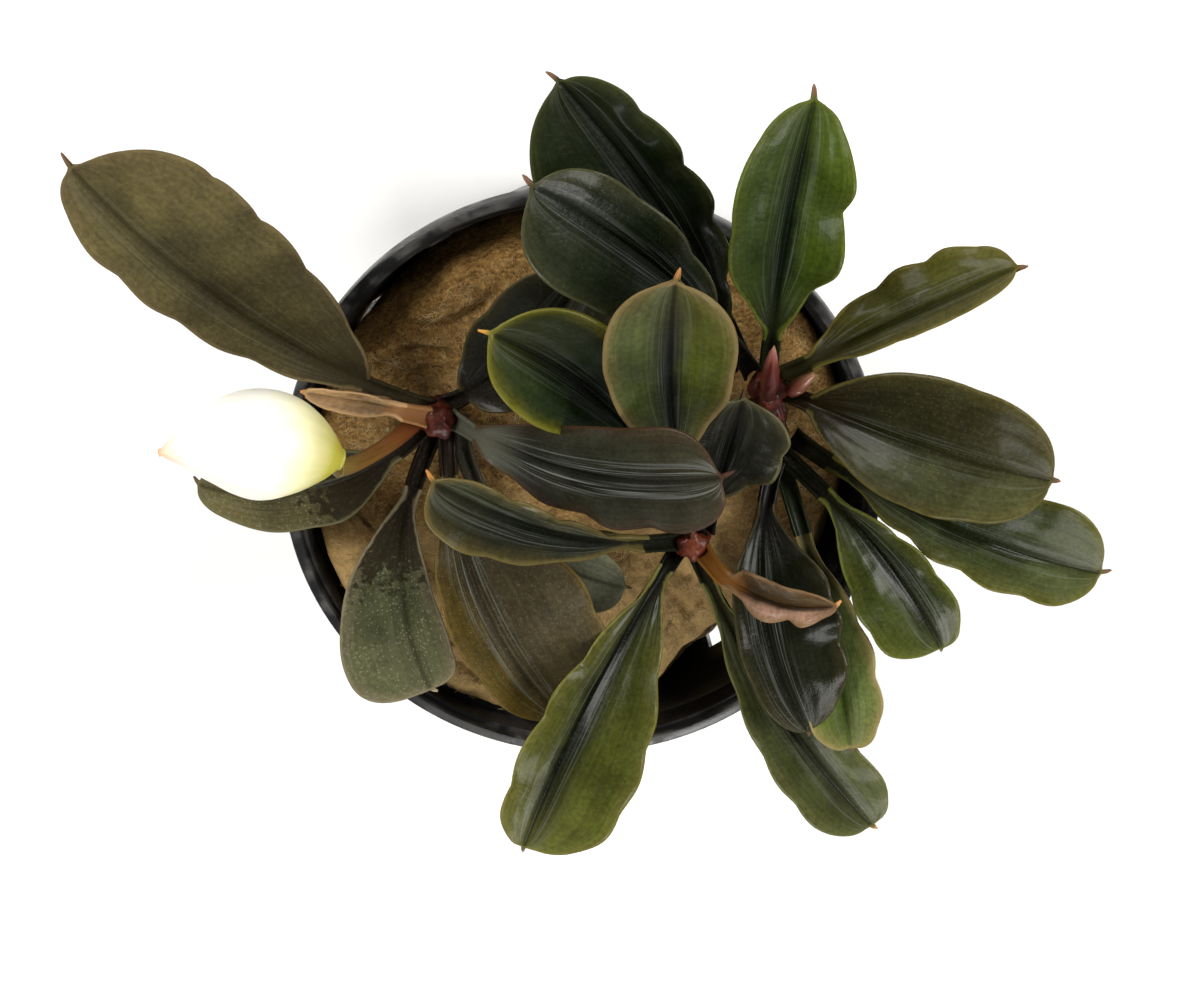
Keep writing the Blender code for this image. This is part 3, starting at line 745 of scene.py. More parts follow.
# %% Leaves: how each one grows
# foot is where the stalk leaves the stem. heading and lift point the stalk round the compass and above the
# horizontal, and turn and bend are how much they change by the tip. fullest is where along the blade it is
# widest, skew widens its right half and narrows its left, roll raises the right margin, fold lifts both
# margins, and cup bends them up like the sides of a boat. waves run along the margins, ripple_left and
# ripple_right millimetres high.
LEAF_FORM = "foot heading turn lift bend stalk blade width fullest skew roll fold cup waves"
Leaf = namedtuple("Leaf", f"name {LEAF_FORM} ripple_left ripple_right")
LEAVES = [Leaf(*row) for row in (
    ("left_long", (-13, 7.5, 46), 153, -31, 22, -6, 5.5, 30.2, 11.6, 0.68, 0.42, 0, 10, 0, 5, 0.22, 0.5),
    ("left_sliver", (-13.1, 7.4, 48.2), 160, 3, 26, -9, 1.5, 8.5, 1.9, 0.40, 0, 0, 20, 25, 0, 0, 0),
    ("left_under_flower", (-13, 5.5, 45.9), -135, -66, 18, -23, 3, 17.6, 6.6, 0.42, 0.1, 0, 8, 0, 3, 0.12, 0.12),
    ("left_spotted", (-12.1, 4.8, 44.9), -118, 53, 22, -30, 5, 19, 9.2, 0.80, 0.28, 0, 6, 0, 3, 0.1, 0.1),
    ("left_brown", (-11, 4.8, 45.7), -89, 40, 26, -40, 3.5, 24.2, 12.2, 0.54, -0.45, 0, 8, 0, 4, 0.3, 0.2),
    ("left_arching", (-9.7, 6.3, 47.2), -15, 37, 50, -22, 2.4, 25.2, 8.7, 0.78, 0, 0, -8, -6, 4, 0.15, 0.3),
    ("left_shaded", (-10.3, 7.9, 46), 34, 32, 28, -7, 1.6, 17.9, 9.4, 0.50, 0, 0, 8, 0, 3, 0.2, 0.2),
    ("left_low", (-10.1, 5.4, 44.6), -85, 80, 6, -6, 6, 16, 6.5, 0.60, 0, 0, 6, 0, 2, 0.1, 0.1),
    ("right_tall", (12.9, 11.6, 46.6), 111, 20, 31, -16, 5, 26.6, 10.7, 0.55, -0.3, 0, 8, 0, 5, 0.1, 0.55),
    ("right_leaning", (13.4, 11.4, 48.3), 118, 30, 44, -24, 5.5, 24.6, 9, 0.72, -0.2, 0, 8, 0, 4, 0.08, 0.28),
    ("right_green", (15, 11.3, 47.2), 91, -9, 40, -17, 4, 24.7, 8.5, 0.50, -0.02, 0, 8, 0, 3, 0.25, 0.55),
    ("right_edgewise", (16.5, 10.6, 47.2), 35, -4, 28, -10, 2.5, 19.3, 5.4, 0.58, -0.3, 40, 8, 0, 4, 0.25, 0.1),
    ("right_broad", (17, 8.9, 47.6), -17, 8, 40, -37, 2, 20.8, 11, 0.52, -0.12, 0, 8, 0, 4, 0.1, 0.12),
    ("right_under", (18, 4.1, 45.4), -32, 22, 22, -20, 3, 24.8, 8.8, 0.74, -0.2, 0, 8, 0, 5, 0.2, 0.3),
    ("right_dark", (15.7, 2.3, 46.8), -106, 50, 23, -29, 3, 21.4, 8.6, 0.45, -0.4, 0, 8, 0, 4, 0.4, 0.1),
    ("right_folded", (16.4, 2.4, 45.2), -71, -9, 22, -31, 6.5, 20.6, 7, 0.60, 0, 0, 25, 0, 4, 0.3, 0.3),
    ("right_shining", (17.1, 2.9, 46.6), -37, -27, 29, -39, 4, 17.4, 7.5, 0.68, 0.2, 0, 8, 0, 4, 0.28, 0.2),
    ("front_low", (9.7, -5.9, 45.2), -67, 18, 14, -25, 2.5, 28.8, 7.7, 0.76, -0.02, 0, 8, 0, 5, 0.3, 0.2),
    ("front_long", (7.8, -5.4, 46), -130, 24, 42, -57, 2, 28.5, 9.9, 0.66, -0.32, 0, 8, 0, 5, 0.25, 0.45),
    ("front_curled", (7.4, -3.7, 47.6), 167, -32, 43, -19, 3.5, 23, 5.5, 0.80, -0.2, 0, 8, 22, 4, 0.15, 0.5),
    ("front_cupped", (8.4, -2.5, 46.3), 106, 44, 25, 4, 8, 21.2, 9.9, 0.64, 0.12, 0, 14, 14, 3, 0.12, 0.15),
    ("front_upright", (9.3, -2.4, 48.3), 106, -21, 36, -5, 9, 22.2, 9.8, 0.64, 0, 0, 8, 0, 3, 0.12, 0.18),
    ("front_shaded", (10.3, -2.8, 46.2), 82, -2, 38, -10, 4, 13, 9, 0.60, 0, 0, 8, 0, 3, 0.1, 0.35),
    ("front_young", (10.5, -5, 48.3), -35, 60, 66, -46, 3.6, 10.8, 4.3, 0.38, -0.4, 0, 25, 6, 3, 0.1, 0.3),
)]
lengths = [leaf.stalk + leaf.blade for leaf in LEAVES]
print(len(LEAVES), "leaves, from", min(lengths), "to", max(lengths), "mm long with their stalks")

# %% Leaves: the outline
STALK = 1.0
BLADE = 0.5
KEEL = 0.45
POINT_SHARE = 0.04
POINT_WIDTH = 0.24
LEAST_HALF = 0.04
ROOTED = 0.7  # how far the stalk's foot reaches into the stem
SHEATH = 0.3  # how much wider the stalk is where it clasps the stem, as a share
STALK_ROWS = 1 / 7  # share of the grid's rows that make the stalk
CROWDING = 1.7  # rows crowd towards the tip, where the outline closes quickly
ROUTE_STEPS = 24  # steps by which a leaf's route is followed from its foot
TIP_POWERS = (2.9, 0.47)  # how long the outer part of a blade stays wide, and how roundly it closes
# Most blades narrow slowly into the stalk, and some have a blunter foot, by the power that shapes it
USUAL_FOOT = 1.12
BLUNT_FEET = {"left_long": 0.62, "left_arching": 0.6, "left_shaded": 0.6, "right_broad": 0.75,
              "right_edgewise": 0.75, "right_tall": 0.85}

Row = namedtuple("Row", "t along middle right up")


def blade_share(t, fullest, foot=USUAL_FOOT):
    """Half width of a blade, as a share of its greatest, at t from its foot (0) to its tip (1)."""
    x = min(t / (1 - POINT_SHARE), 1)
    if x < fullest:
        return math.sin(math.pi / 2 * x / fullest) ** foot
    return max(0.0, 1 - ((x - fullest) / (1 - fullest)) ** TIP_POWERS[0]) ** TIP_POWERS[1]


def half_width(leaf, t, side):
    """Half width in millimetres, right (1) or left (-1): blade, stalk and point blend into each other."""
    foot = BLUNT_FEET.get(leaf.name, USUAL_FOOT)
    blade = blade_share(t, leaf.fullest, foot) * leaf.width / 2 * (1 + leaf.skew * side)
    stalk = STALK / 2 * (1 - t) ** 3
    point = POINT_WIDTH / 2 * min(1.0, max(0.0, (1 - t) / POINT_SHARE)) ** 0.6
    return max(LEAST_HALF, (blade**4 + stalk**4 + point**4) ** 0.25)


def leaf_row(leaf, s):
    """What one row of the grid shares, at s from the stem (0) to the tip (1)."""
    if s < STALK_ROWS:
        t, along = 0.0, (leaf.stalk + ROOTED) * s / STALK_ROWS - ROOTED
    else:
        t = 1 - max(0.0, 1 - (s - STALK_ROWS) / (1 - STALK_ROWS)) ** CROWDING
        along = leaf.stalk + leaf.blade * t
    whole = leaf.stalk + leaf.blade
    middle = Vector(leaf.foot)
    for k in range(ROUTE_STEPS):
        share = (k + 0.5) / ROUTE_STEPS * along / whole
        ahead = direction(leaf.heading + leaf.turn * share, leaf.lift + leaf.bend * share)
        middle += ahead * (along / ROUTE_STEPS)
    heading = math.radians(leaf.heading + leaf.turn * along / whole)
    forward = direction(math.degrees(heading), leaf.lift + leaf.bend * along / whole)
    right = Vector((math.sin(heading), -math.cos(heading), 0))
    up = right.cross(forward)
    roll = math.radians(leaf.roll) * min(1, 2.5 * t)
    turned = right * math.cos(roll) + up * math.sin(roll)
    return Row(t, along, middle, turned, up * math.cos(roll) - right * math.sin(roll))


widths = [round(10 * blade_share(k / 5, 0.6), 1) for k in range(6)]
print("a blade 10 mm wide is", widths, "mm wide along its length")

# %% Leaves: the relief
STALK_CURL = 72
BLADE_CURL = 7
GROOVE = (0.2, 0.24)  # depth and width of the sunken midrib
CHANNEL = (0.12, 0.9)  # depth and width of the soft hollow along the midrib
RIBS = 3
RIB_DEPTH = 0.025
BULGE = 0.05
SWELLS = 0.4  # slow rise and fall of the blade
PUCKERS = 0.07  # small rise and fall
SCALLOP = 0.6  # how far a margin's rounded lobes stand out, as a share of its ripple
HOOK = 0.55


def leaf_point(leaf, row, u, seed):
    """Where the upper face is at u, from -1 at the left margin to 1 at the right."""
    side = 1 if u > 0 else -1
    edge = abs(u)
    t = row.t
    half = half_width(leaf, t, side)
    ripple = leaf.ripple_right if side > 0 else leaf.ripple_left
    swell = math.sin(math.pi * t) ** 0.7 if 0 < t < 1 else 0.0
    drift = 1.2 * noise.noise(Vector((t * 3, side, seed)))
    phase = math.tau * leaf.waves * t + (0.6 if side > 0 else 2.0) + drift
    if t == 0:
        half *= 1 + SHEATH * max(0.0, 1 - (row.along + ROOTED) / 2.5) ** 2
    curl = math.radians(STALK_CURL * (1 - t) ** 9 + BLADE_CURL + leaf.cup * (0.4 + 0.6 * t))
    out = half * math.sin(curl * edge) / math.sin(curl)
    rise = half * (1 - math.cos(curl * edge)) / math.sin(curl)
    fold = math.radians(leaf.fold) * min(1, 4 * t)
    lobe = 2 * abs(math.sin(phase / 2 + 0.6)) - 1.2
    out = out * math.cos(fold) + SCALLOP * ripple * edge**2 * swell * lobe
    rise += edge**1.4 * half * math.sin(fold) + ripple * edge**2.5 * math.sin(phase) * swell
    rise += BULGE * half * math.sin(math.pi * edge) * swell
    rise -= GROOVE[0] * math.exp(-((edge * half / GROOVE[1]) ** 2)) * min(1, 5 * t) * (1 - t) ** 0.4
    rise -= CHANNEL[0] * math.exp(-((edge * half / CHANNEL[1]) ** 2)) * swell
    rise -= RIB_DEPTH * math.cos(math.tau * RIBS * edge) * (1 - edge**2) * swell * min(1, half / 2)
    rise += SWELLS * noise.noise(Vector((u * 1.3, t * 4, seed))) * swell * min(1, 2.5 * edge)
    rise += PUCKERS * noise.noise(Vector((u * 4, t * 15, seed + 5))) * swell * min(1, 2.5 * edge)
    past = max(0.0, (t - 1 + 1.4 * POINT_SHARE) / (1.4 * POINT_SHARE))
    rise += BLADE / 2 - HOOK * past**2
    return row.middle + row.right * (side * out + 0.3 * math.sin(seed) * past**2) + row.up * rise


def margin_distance(leaf, t, side, edge):
    """Millimetres from the nearest margin, or far away on the stalk."""
    if t == 0:
        return 9.0
    wider, narrower = half_width(leaf, min(t + 0.01, 1), side), half_width(leaf, max(t - 0.01, 0), side)
    return (1 - edge) * half_width(leaf, t, side) / math.hypot(1, (wider - narrower) / (0.02 * leaf.blade))


def thickness(t, edge, half):
    """Thickness of a leaf in millimetres: thin at the margin and the tip, with a keel along the middle."""
    keel = KEEL * (1 - t) * min(1, 6 * t) * math.exp(-((edge * half / 0.5) ** 2))
    slim = min(1.0, 0.5 + 0.5 * (1 - t) / (2 * POINT_SHARE))
    return slim * (0.13 + 0.32 * (1 - edge) ** 0.8) + 0.12 * (1 - t) ** 6 + keel


print("at its middle a blade is", round(thickness(0.5, 0.0, 5.0), 2), "mm thick")

# %% Leaves: build one
ACROSS = 40
ALONG = 84
MOST_THICK = 1.2
MIDDLE_CROWDING = 1.25  # columns crowd towards the midrib, whose groove is narrow


def leaf_sheet(leaf, seed):
    """The grid, moved onto the leaf's upper face, with its measures kept as attributes."""
    maker = bmesh.new()
    maker.loops.layers.uv.new("UVMap")
    bmesh.ops.create_grid(maker, x_segments=ACROSS, y_segments=ALONG, size=1, calc_uvs=True)
    layers = {name: maker.verts.layers.float.new(name) for name in ("from_edge", "from_rib", "up_blade")}
    weights = maker.verts.layers.deform.verify()
    rows = {}
    for vert in maker.verts:
        u, s = vert.co.x, round((vert.co.y + 1) / 2, 5)
        if s not in rows:
            rows[s] = leaf_row(leaf, s)
        row = rows[s]
        u = math.copysign(abs(u) ** MIDDLE_CROWDING, u)
        side = 1 if u > 0 else -1
        half = half_width(leaf, row.t, side)
        vert[layers["from_edge"]] = margin_distance(leaf, row.t, side, abs(u))
        vert[layers["from_rib"]] = abs(u) * half
        vert[layers["up_blade"]] = row.t
        vert[weights][0] = thickness(row.t, abs(u), half) / MOST_THICK
        vert.co = leaf_point(leaf, row, u, seed) * MM
    maker.normal_update()
    return maker


def keep_leaf(leaf, finish, seed):
    """A leaf with its thickness, in place of its solid."""
    piece = keep(leaf_sheet(leaf, seed), f"{leaf.name}_leaf", finish, [f"leaf_{leaf.name}"])
    piece.vertex_groups.new(name="thickness")
    solid = piece.modifiers.new("thickness", "SOLIDIFY")
    solid.thickness = MOST_THICK * MM
    solid.offset = -1
    solid.vertex_group = "thickness"
    return piece


print("a leaf's sheet has", ACROSS, "by", ALONG, "faces")

# %% [markdown]
# ## Leaf finishes
#
# No two leaves are the same green. Each finish is one recipe with its own paints: a core beside the midrib,
# a left and a right half, a pale rim, a foot, and a coloured point. The recipe reads the leaf's own map and
# its attributes, so that streaks follow the ribs and the rim stays a fraction of a millimetre wide on any
# leaf, wider on a few young ones. Pale grey streaks beside the midrib are painted sheen, a highlight laid
# into the colour. A blade is darker towards its foot, where other leaves shade it, and a near-black foot
# paint is painted shade too. Old low leaves are matte with fine pale dots, and young high ones are glossy.

# %% Leaf finishes: the paints
Paint = namedtuple("Paint", "name rough coat dots silk wet core left right rim foot point")
DARK_POINT = (70, 30, 18)
PALE_POINT = (170, 90, 55)
# First how rough, how coated, how dotted, how strong the painted sheen beside the midrib, and how far up
# wet. Then the six colours, in thousandths of full brightness
PAINT_ROWS = (
    ("left_long", 0.62, 0, 0.2, 0.15, 0,
     (45, 37, 13), (74, 61, 22), (72, 59, 22), (120, 90, 40), (30, 24, 10), PALE_POINT),
    ("left_sliver", 0.5, 0.1, 0, 0.3, 0,
     (340, 210, 95), (170, 100, 45), (420, 270, 125), (400, 250, 120), (240, 110, 40), (500, 220, 70)),
    ("left_under_flower", 0.6, 0.1, 0.8, 0.1, 0.42,
     (62, 55, 22), (72, 61, 24), (74, 62, 25), (120, 110, 50), (20, 14, 8), PALE_POINT),
    ("left_spotted", 0.55, 0.1, 1, 0.1, 0.4,
     (40, 43, 17), (52, 56, 22), (54, 58, 24), (180, 150, 90), (8, 4, 2), (500, 400, 280)),
    ("left_brown", 0.5, 0.1, 0.35, 0.6, 0.15,
     (36, 28, 13), (48, 38, 18), (50, 34, 4), (120, 80, 20), (22, 9, 3), (160, 70, 20)),
    ("left_arching", 0.34, 0.25, 0.1, 1, 0,
     (10, 11, 6), (20, 21, 11), (21, 21, 12), (50, 25, 12), (70, 70, 50), DARK_POINT),
    ("left_shaded", 0.35, 0.3, 0.2, 0.3, 0,
     (8, 9, 5), (12, 13, 7), (12, 13, 7), (50, 40, 15), (8, 6, 4), DARK_POINT),
    # left_low is painted lighter than its own grey-green: painted light that makes up for the shade it lies in
    ("left_low", 0.55, 0.05, 0.8, 0.2, 0,
     (120, 125, 75), (140, 145, 90), (140, 145, 90), (160, 160, 90), (60, 55, 35), DARK_POINT),
    ("right_tall", 0.34, 0.3, 0, 0.25, 0,
     (3, 5, 2), (6, 10, 3), (4, 7, 2), (45, 50, 14), (4, 4, 2), PALE_POINT),
    ("right_leaning", 0.26, 0.5, 0.1, 0.35, 0,
     (3, 5, 2), (11, 15, 7), (5, 8, 3), (50, 50, 20), (4, 4, 2), PALE_POINT),
    ("right_green", 0.3, 0.3, 0, 0.3, 0,
     (4, 8, 2), (26, 42, 6), (34, 55, 4), (90, 110, 15), (10, 14, 4), PALE_POINT),
    ("right_edgewise", 0.4, 0.2, 0, 0.3, 0,
     (32, 34, 5), (45, 47, 6), (42, 40, 6), (120, 100, 20), (20, 18, 5), PALE_POINT),
    ("right_broad", 0.36, 0.25, 0.2, 0.25, 0,
     (17, 17, 4), (22, 21, 6), (42, 45, 16), (90, 75, 20), (12, 8, 2), PALE_POINT),
    ("right_under", 0.32, 0.35, 0.2, 0.3, 0,
     (12, 18, 4), (34, 44, 13), (40, 50, 16), (120, 110, 20), (12, 12, 4), PALE_POINT),
    ("right_dark", 0.26, 0.35, 0, 0.5, 0,
     (5, 6, 2), (8, 9, 4), (7, 8, 3), (40, 35, 14), (5, 4, 3), PALE_POINT),
    ("right_folded", 0.3, 0.4, 0, 0.3, 0,
     (50, 80, 12), (100, 130, 35), (75, 115, 18), (240, 190, 70), (12, 16, 5), PALE_POINT),
    ("right_shining", 0.26, 0.5, 0.2, 0.5, 0,
     (5, 7, 2), (15, 20, 6), (34, 44, 8), (110, 120, 20), (6, 6, 2), PALE_POINT),
    ("front_low", 0.32, 0.35, 0.1, 0.3, 0,
     (10, 12, 4), (45, 55, 15), (30, 36, 9), (120, 120, 40), (10, 9, 4), (500, 240, 70)),
    ("front_long", 0.3, 0.4, 0.1, 0.4, 0,
     (4, 6, 2), (50, 57, 9), (52, 56, 9), (140, 130, 30), (4, 4, 2), PALE_POINT),
    ("front_curled", 0.24, 0.6, 0.1, 0.4, 0,
     (7, 9, 4), (8, 10, 4), (16, 20, 8), (110, 85, 25), (7, 8, 4), (450, 200, 50)),
    ("front_cupped", 0.28, 0.45, 0, 0.3, 0,
     (4, 7, 3), (12, 21, 6), (7, 12, 4), (140, 130, 15), (4, 5, 2), (500, 260, 50)),
    ("front_upright", 0.36, 0.3, 0, 0.3, 0,
     (7, 9, 6), (43, 56, 14), (45, 55, 5), (170, 120, 45), (2, 2, 1), (420, 200, 70)),
    ("front_shaded", 0.3, 0.3, 0, 0.2, 0,
     (4, 4, 2), (7, 7, 3), (7, 7, 3), (100, 90, 40), (4, 4, 2), DARK_POINT),
    ("front_young", 0.34, 0.3, 0, 0.15, 0,
     (30, 16, 4), (45, 26, 6), (380, 220, 150), (170, 100, 45), (170, 70, 14), (600, 300, 100)),
)
PAINTS = {}
for name, rough, coat, dots, silk, wet, *colours in PAINT_ROWS:
    colours = [tuple(c / 1000 for c in colour) for colour in colours]
    PAINTS[name] = Paint(name, rough, coat, dots, silk, wet, *colours)
print(len(PAINTS), "leaf paints")

# %% Leaf finishes: the recipe
SPECK = (0.30, 0.30, 0.23)
# Colour of the painted sheen: pale grey streaks beside the midrib that stand in for the highlight on the ribs
PAINTED_SHEEN_COLOUR = (0.13, 0.14, 0.125)
WET = (0.010, 0.006, 0.003)
USUAL_RIM = 0.28  # how far in a pale rim reaches, in millimetres
WIDE_RIMS = {"front_cupped": 0.6, "front_upright": 0.55, "front_curled": 0.5, "right_folded": 0.6,
             "front_young": 0.5}
FOOT_SHADE = 0.5  # brightness at a blade's foot, as a share of its brightness further up
TIP_TINT = 0.1  # how much of the rim's paint the end of a blade takes on


def leaf_measures(tree):
    """Sockets for the place across and up the blade, and the distances to its margin and its midrib."""
    across = axis_of(tree, own_map(tree), 0)
    names = ("up_blade", "from_edge", "from_rib")
    kept = [add_node(tree, "ShaderNodeAttribute", attribute_name=name).outputs[2] for name in names]
    return (across, *kept)


def leaf_finish(paint):
    """One leaf's material, from its paints."""
    gloss = {"Coat_Weight": paint.coat / 4, "Coat_Roughness": 0.14, "Specular_IOR_Level": 0.08}
    material, tree, shader = new_finish(f"{paint.name} leaf", paint.rough, **gloss)
    across, up_blade, from_edge, from_rib = leaf_measures(tree)
    flat = add_node(tree, "ShaderNodeCombineXYZ", {0: across, 1: up_blade}).outputs[0]
    veins = grain(tree, 1.0, 4, stretched(tree, flat, 44, 1.8))
    cloud = grain(tree, 290, 4)
    fine = grain(tree, 2600, 3)
    shifted = wobbled(tree, across, cloud, 0.2)
    off_middle = math_node(tree, "ABSOLUTE", math_node(tree, "SUBTRACT", shifted, 0.5))
    colour = mixed(tree, stepped(tree, shifted, 0.43, 0.57), paint.left, paint.right)
    halo = stepped(tree, wobbled(tree, from_edge, cloud, 3.0), 0.0, 1.5, 0.4, 0)
    colour = mixed(tree, halo, colour, paint.rim)
    tapered = stepped(tree, up_blade, 0.75, 1.0, 1, 0.25)
    core = product(tree, stepped(tree, off_middle, 0.03, 0.27, 1, 0), tapered)
    colour = mixed(tree, core, colour, paint.core)
    colour = dimmed(tree, dimmed(tree, colour, veins, 0.82, 1.18), cloud, 0.72, 1.3)
    colour = dimmed(tree, colour, fine, 0.8, 1.22)
    colour = dimmed(tree, colour, up_blade, FOOT_SHADE, 1.0, 0.1, 0.85)
    colour = mixed(tree, stepped(tree, up_blade, 0.55, 0.95, 0, TIP_TINT), colour, paint.rim)
    # Painted sheen: pale grey streaks along the veins beside the midrib, a highlight laid into the colour
    beside = product(tree, stepped(tree, from_rib, 0.2, 0.5), stepped(tree, from_rib, 0.7, 2.0, 1, 0))
    silk = product(tree, stepped(tree, veins, 0.46, 0.68, 0, paint.silk), beside)
    colour = mixed(tree, silk, colour, PAINTED_SHEEN_COLOUR)
    groove = tuple(0.4 * c for c in paint.core)
    colour = mixed(tree, stepped(tree, from_rib, 0.08, 0.26, 0.6, 0), colour, groove)
    # The foot paint: on a few leaves the stalk's own red or brown, on most a near-black painted shade where
    # other leaves shade the foot
    low = wobbled(tree, up_blade, veins, 0.35)
    colour = mixed(tree, stepped(tree, low, 0.03, 0.26, 1, 0), colour, paint.foot)
    roughness = stepped(tree, cloud, 0.35, 0.65, paint.rough - 0.06, paint.rough + 0.08)
    if paint.dots:
        spread = {"Vector": own_place(tree), "Scale": 3300.0}
        cells = add_node(tree, "ShaderNodeTexVoronoi", spread).outputs[0]
        dots = stepped(tree, cells, 0.12, 0.32, 0.55 * paint.dots, 0)
        colour = mixed(tree, product(tree, dots, cloud), colour, SPECK)
    if paint.wet:
        wet = wobbled(tree, up_blade, grain(tree, 1500, 8), 0.6)
        wet = stepped(tree, wet, paint.wet - 0.03, paint.wet + 0.03, 0.75, 0)
        colour = mixed(tree, wet, colour, WET)
        roughness = math_node(tree, "MULTIPLY_ADD", wet, -0.3, roughness)
    ragged = wobbled(tree, from_edge, grain(tree, 1500, 2), 0.3)
    rim = stepped(tree, ragged, 0.05, WIDE_RIMS.get(paint.name, USUAL_RIM), 0.8, 0)
    colour = mixed(tree, rim, colour, paint.rim)
    colour = mixed(tree, stepped(tree, up_blade, 0.962, 0.99), colour, paint.point)
    tree.links.new(colour, shader.inputs[0])
    tree.links.new(roughness, shader.inputs["Roughness"])
    relief = math_node(tree, "ADD", product(tree, veins, 0.6), fine)
    raised(tree, shader, relief, 0.06 * MM, 0.7)
    return material


for number, leaf in enumerate(LEAVES):
    keep_leaf(leaf, leaf_finish(PAINTS[leaf.name]), 3.7 * number)

# %% [markdown]
# ## The buds
#
# Two young leaves are still rolled up. A rolled leaf is a slim cone whose edge winds round it, so the rod's
# radius has a small step in it that climbs as it goes up.

# %% Buds
Bud = namedtuple("Bud", "name foot heading lift length width tones")
TALL_TONES = ((0.05, 0.006, 0.004), (0.13, 0.018, 0.012), (0.36, 0.14, 0.10))
SHORT_TONES = ((0.07, 0.014, 0.006), (0.18, 0.06, 0.03), (0.28, 0.13, 0.07))
BUDS = (
    Bud("tall", (14.9, 8.9, 48.6), 90, 40, 7.4, 1.6, TALL_TONES),
    Bud("short", (16.7, 9.4, 48.9), 50, 35, 3.3, 1.4, SHORT_TONES),
)


def bud_radius(share, angle, width):
    """A slim cone with a swollen lower half, and the edge of the rolled leaf as a step."""
    swell = 0.7 + 0.3 * math.sin(math.pi * share)
    roll = 1 + 0.13 * ((angle / math.tau + 1.4 * share) % 1.0)
    close = min(1.0, share / 0.03) ** 0.5
    return width / 2 * swell * (1 - share**2.2) * roll * close


def bud_finish(name, tones):
    glow = {"Subsurface_Weight": 0.1, "Subsurface_Scale": 0.5 * MM}
    material, tree, shader = new_finish(name, 0.34, Coat_Weight=0.3, Coat_Roughness=0.15, **glow)
    mapped = own_map(tree)
    lines = grain(tree, 1.0, 3, stretched(tree, mapped, 14, 2))
    place = wobbled(tree, axis_of(tree, mapped, 1), lines, 0.5)
    tree.links.new(graded(tree, place, list(zip((0.1, 0.6, 0.95), tones))), shader.inputs[0])
    raised(tree, shader, lines, 0.08 * MM, 0.6)
    return material


for bud in BUDS:
    tip = Vector(bud.foot) + direction(bud.heading, bud.lift) * bud.length
    rolled = rod([bud.foot, tip], lambda s, a, w=bud.width: bud_radius(s, a, w), 36, 48)
    keep(rolled, f"{bud.name}_bud", bud_finish(f"{bud.name} bud", bud.tones), [f"bud_{bud.name}"])

# %% [markdown]
# ## The flower
#
# The flower is still closed: a white spathe, which is one leaf wrapped round like a bud, yellow-green where
# it joins the stalk and peach at its beak. Its edge shows as a fold that runs from the foot to the beak. The
# wrapped edge could be a separate sheet, but a step in the rod's radius makes the same overlap and stays
# closed.

# %% Flower
FLOWER_STALK = ((-13.4, 6.2, 46.2), (-14.9, 5.6, 49.4), (-16.2, 5.5, 52.4), (-17.6, 5.75, 56.0),
                (-18.7, 5.98, 57.5))
FLOWER_STALK_RADIUS = 0.66
SPATHE_FOOT = (-18.1, 6.4, 57.0)
SPATHE_HEADING = 170
SPATHE_LIFT = 20
SPATHE_LENGTH = 14.2
SPATHE_WIDTH = 9.0
SPATHE_BOW = 1.1  # how far the spathe's middle is bowed to the back


def stalk_radius(share, angle):
    """An even stalk with faint ribs, a little wider at both ends."""
    ends = 0.25 * (1 - share) ** 6 + 0.2 * share**8
    close = min(1.0, share / 0.02, (1 - share) / 0.02) ** 0.5
    return FLOWER_STALK_RADIUS * (1 + ends + 0.03 * math.cos(6 * angle)) * close


def spathe_radius(share, angle):
    """An egg drawn out to a beak, whose wrapped edge is a step that winds a quarter of the way round."""
    t = (1 - math.cos(math.pi * share)) / 2
    belly = math.sin(math.pi * t**0.95) ** 0.75 if 0 < t < 1 else 0.0
    ends = (0.9 - 0.6 * t) * min(1.0, 12 * share, 30 * (1 - share))
    body = max(SPATHE_WIDTH / 2 * belly * (1 - 0.45 * t**3), ends)
    wrap = (angle / math.tau + 0.25 * t + 0.1 * math.sin(3 * t)) % 1.0
    lumps = noise.noise(Vector((math.cos(angle), math.sin(angle), 3 * t)))
    dent = 0.012 * math.cos(5 * angle + 2 * t) + 0.02 * lumps
    return body * (0.95 + 0.05 * wrap**0.7 + dent)


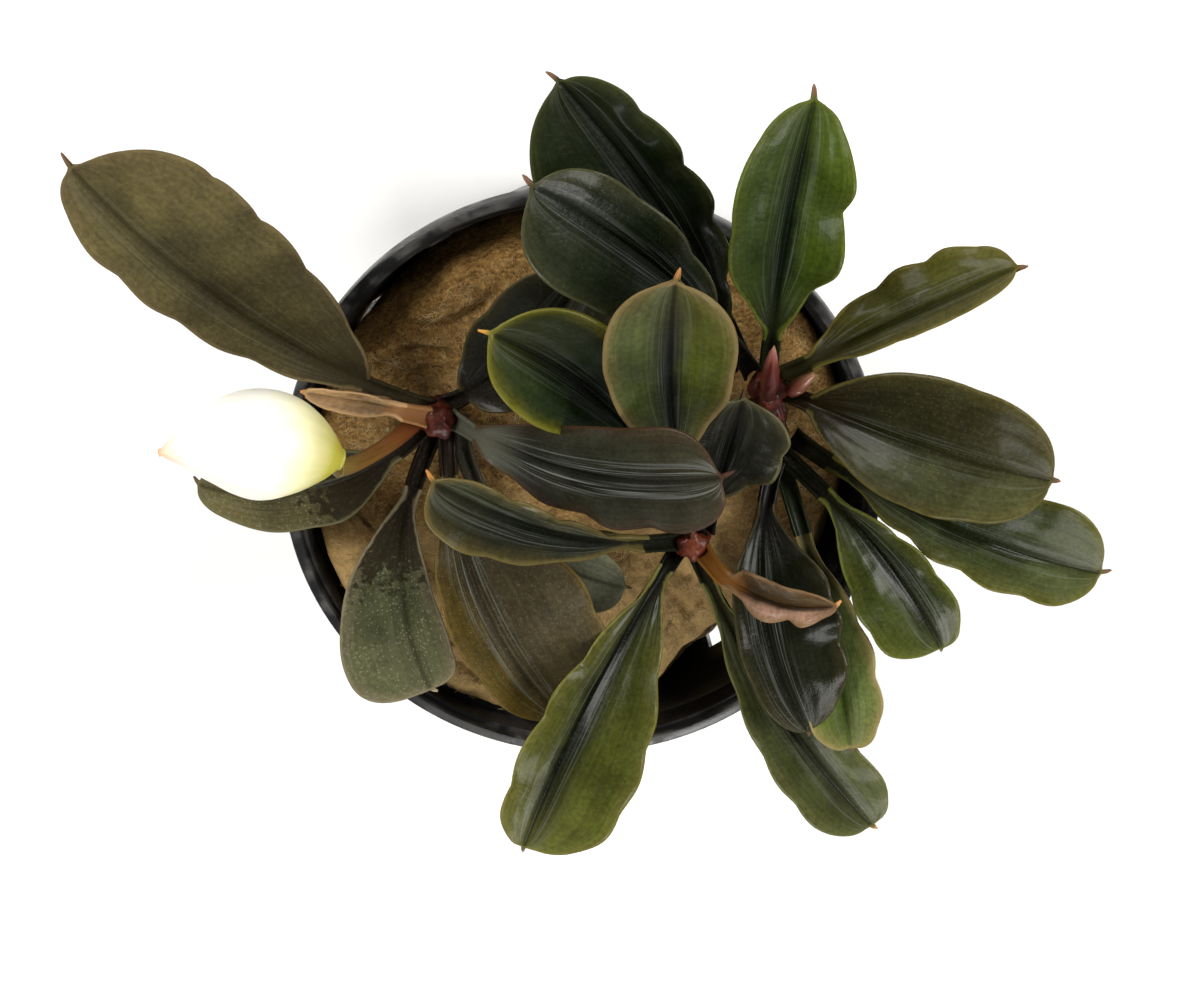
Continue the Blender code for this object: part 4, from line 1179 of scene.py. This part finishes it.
def spathe_route():
    """Points along the spathe, spaced as its outline needs them."""
    forward = direction(SPATHE_HEADING, SPATHE_LIFT)
    shares = [(1 - math.cos(math.pi * k / 10)) / 2 for k in range(11)]
    bow = Vector((0, SPATHE_BOW, 0))
    return [Vector(SPATHE_FOOT) + forward * SPATHE_LENGTH * t + bow * math.sin(math.pi * t) for t in shares]


def flower_finish(name, roughness, stops, streak, glow):
    """A finish that changes from the foot to the tip, with fine veins."""
    depth = {"Subsurface_Weight": glow, "Subsurface_Scale": 1.2 * MM}
    material, tree, shader = new_finish(name, roughness, Coat_Weight=0.1, **depth)
    mapped = own_map(tree)
    veins = grain(tree, 1.0, 3, stretched(tree, mapped, 34, 2.5))
    cloud = grain(tree, 300, 3)
    place = wobbled(tree, axis_of(tree, mapped, 1), cloud, 0.12)
    colour = dimmed(tree, graded(tree, place, stops), veins, 1 - streak, 1.0, 0.35, 0.65)
    tree.links.new(colour, shader.inputs[0])
    raised(tree, shader, math_node(tree, "MULTIPLY_ADD", cloud, 0.5, veins), 0.1 * MM, 0.5)
    return material


STALK_STOPS = [(0.0, (0.17, 0.035, 0.010)), (0.5, (0.20, 0.085, 0.018)), (0.95, (0.20, 0.13, 0.022))]
SPATHE_STOPS = [(0.0, (0.34, 0.31, 0.02)), (0.2, (0.50, 0.46, 0.06)), (0.36, (0.86, 0.82, 0.48))]
SPATHE_STOPS += [(0.48, (0.92, 0.90, 0.80)), (0.76, (0.93, 0.88, 0.80)), (0.9, (0.88, 0.60, 0.42))]
SPATHE_STOPS += [(1.0, (0.6, 0.28, 0.13))]
stalk = rod(FLOWER_STALK, stalk_radius, 24, 60)
orange_brown = flower_finish("flower stem", 0.4, STALK_STOPS, 0.35, 0.05)
keep(stalk, "flower_stem", orange_brown, ["flower_stalk"])
spathe = rod(spathe_route(), spathe_radius, 96, 110)
waxy_white = flower_finish("white spathe", 0.42, SPATHE_STOPS, 0.06, 0.35)
keep(spathe, "white_spathe", waxy_white, ["spathe"])
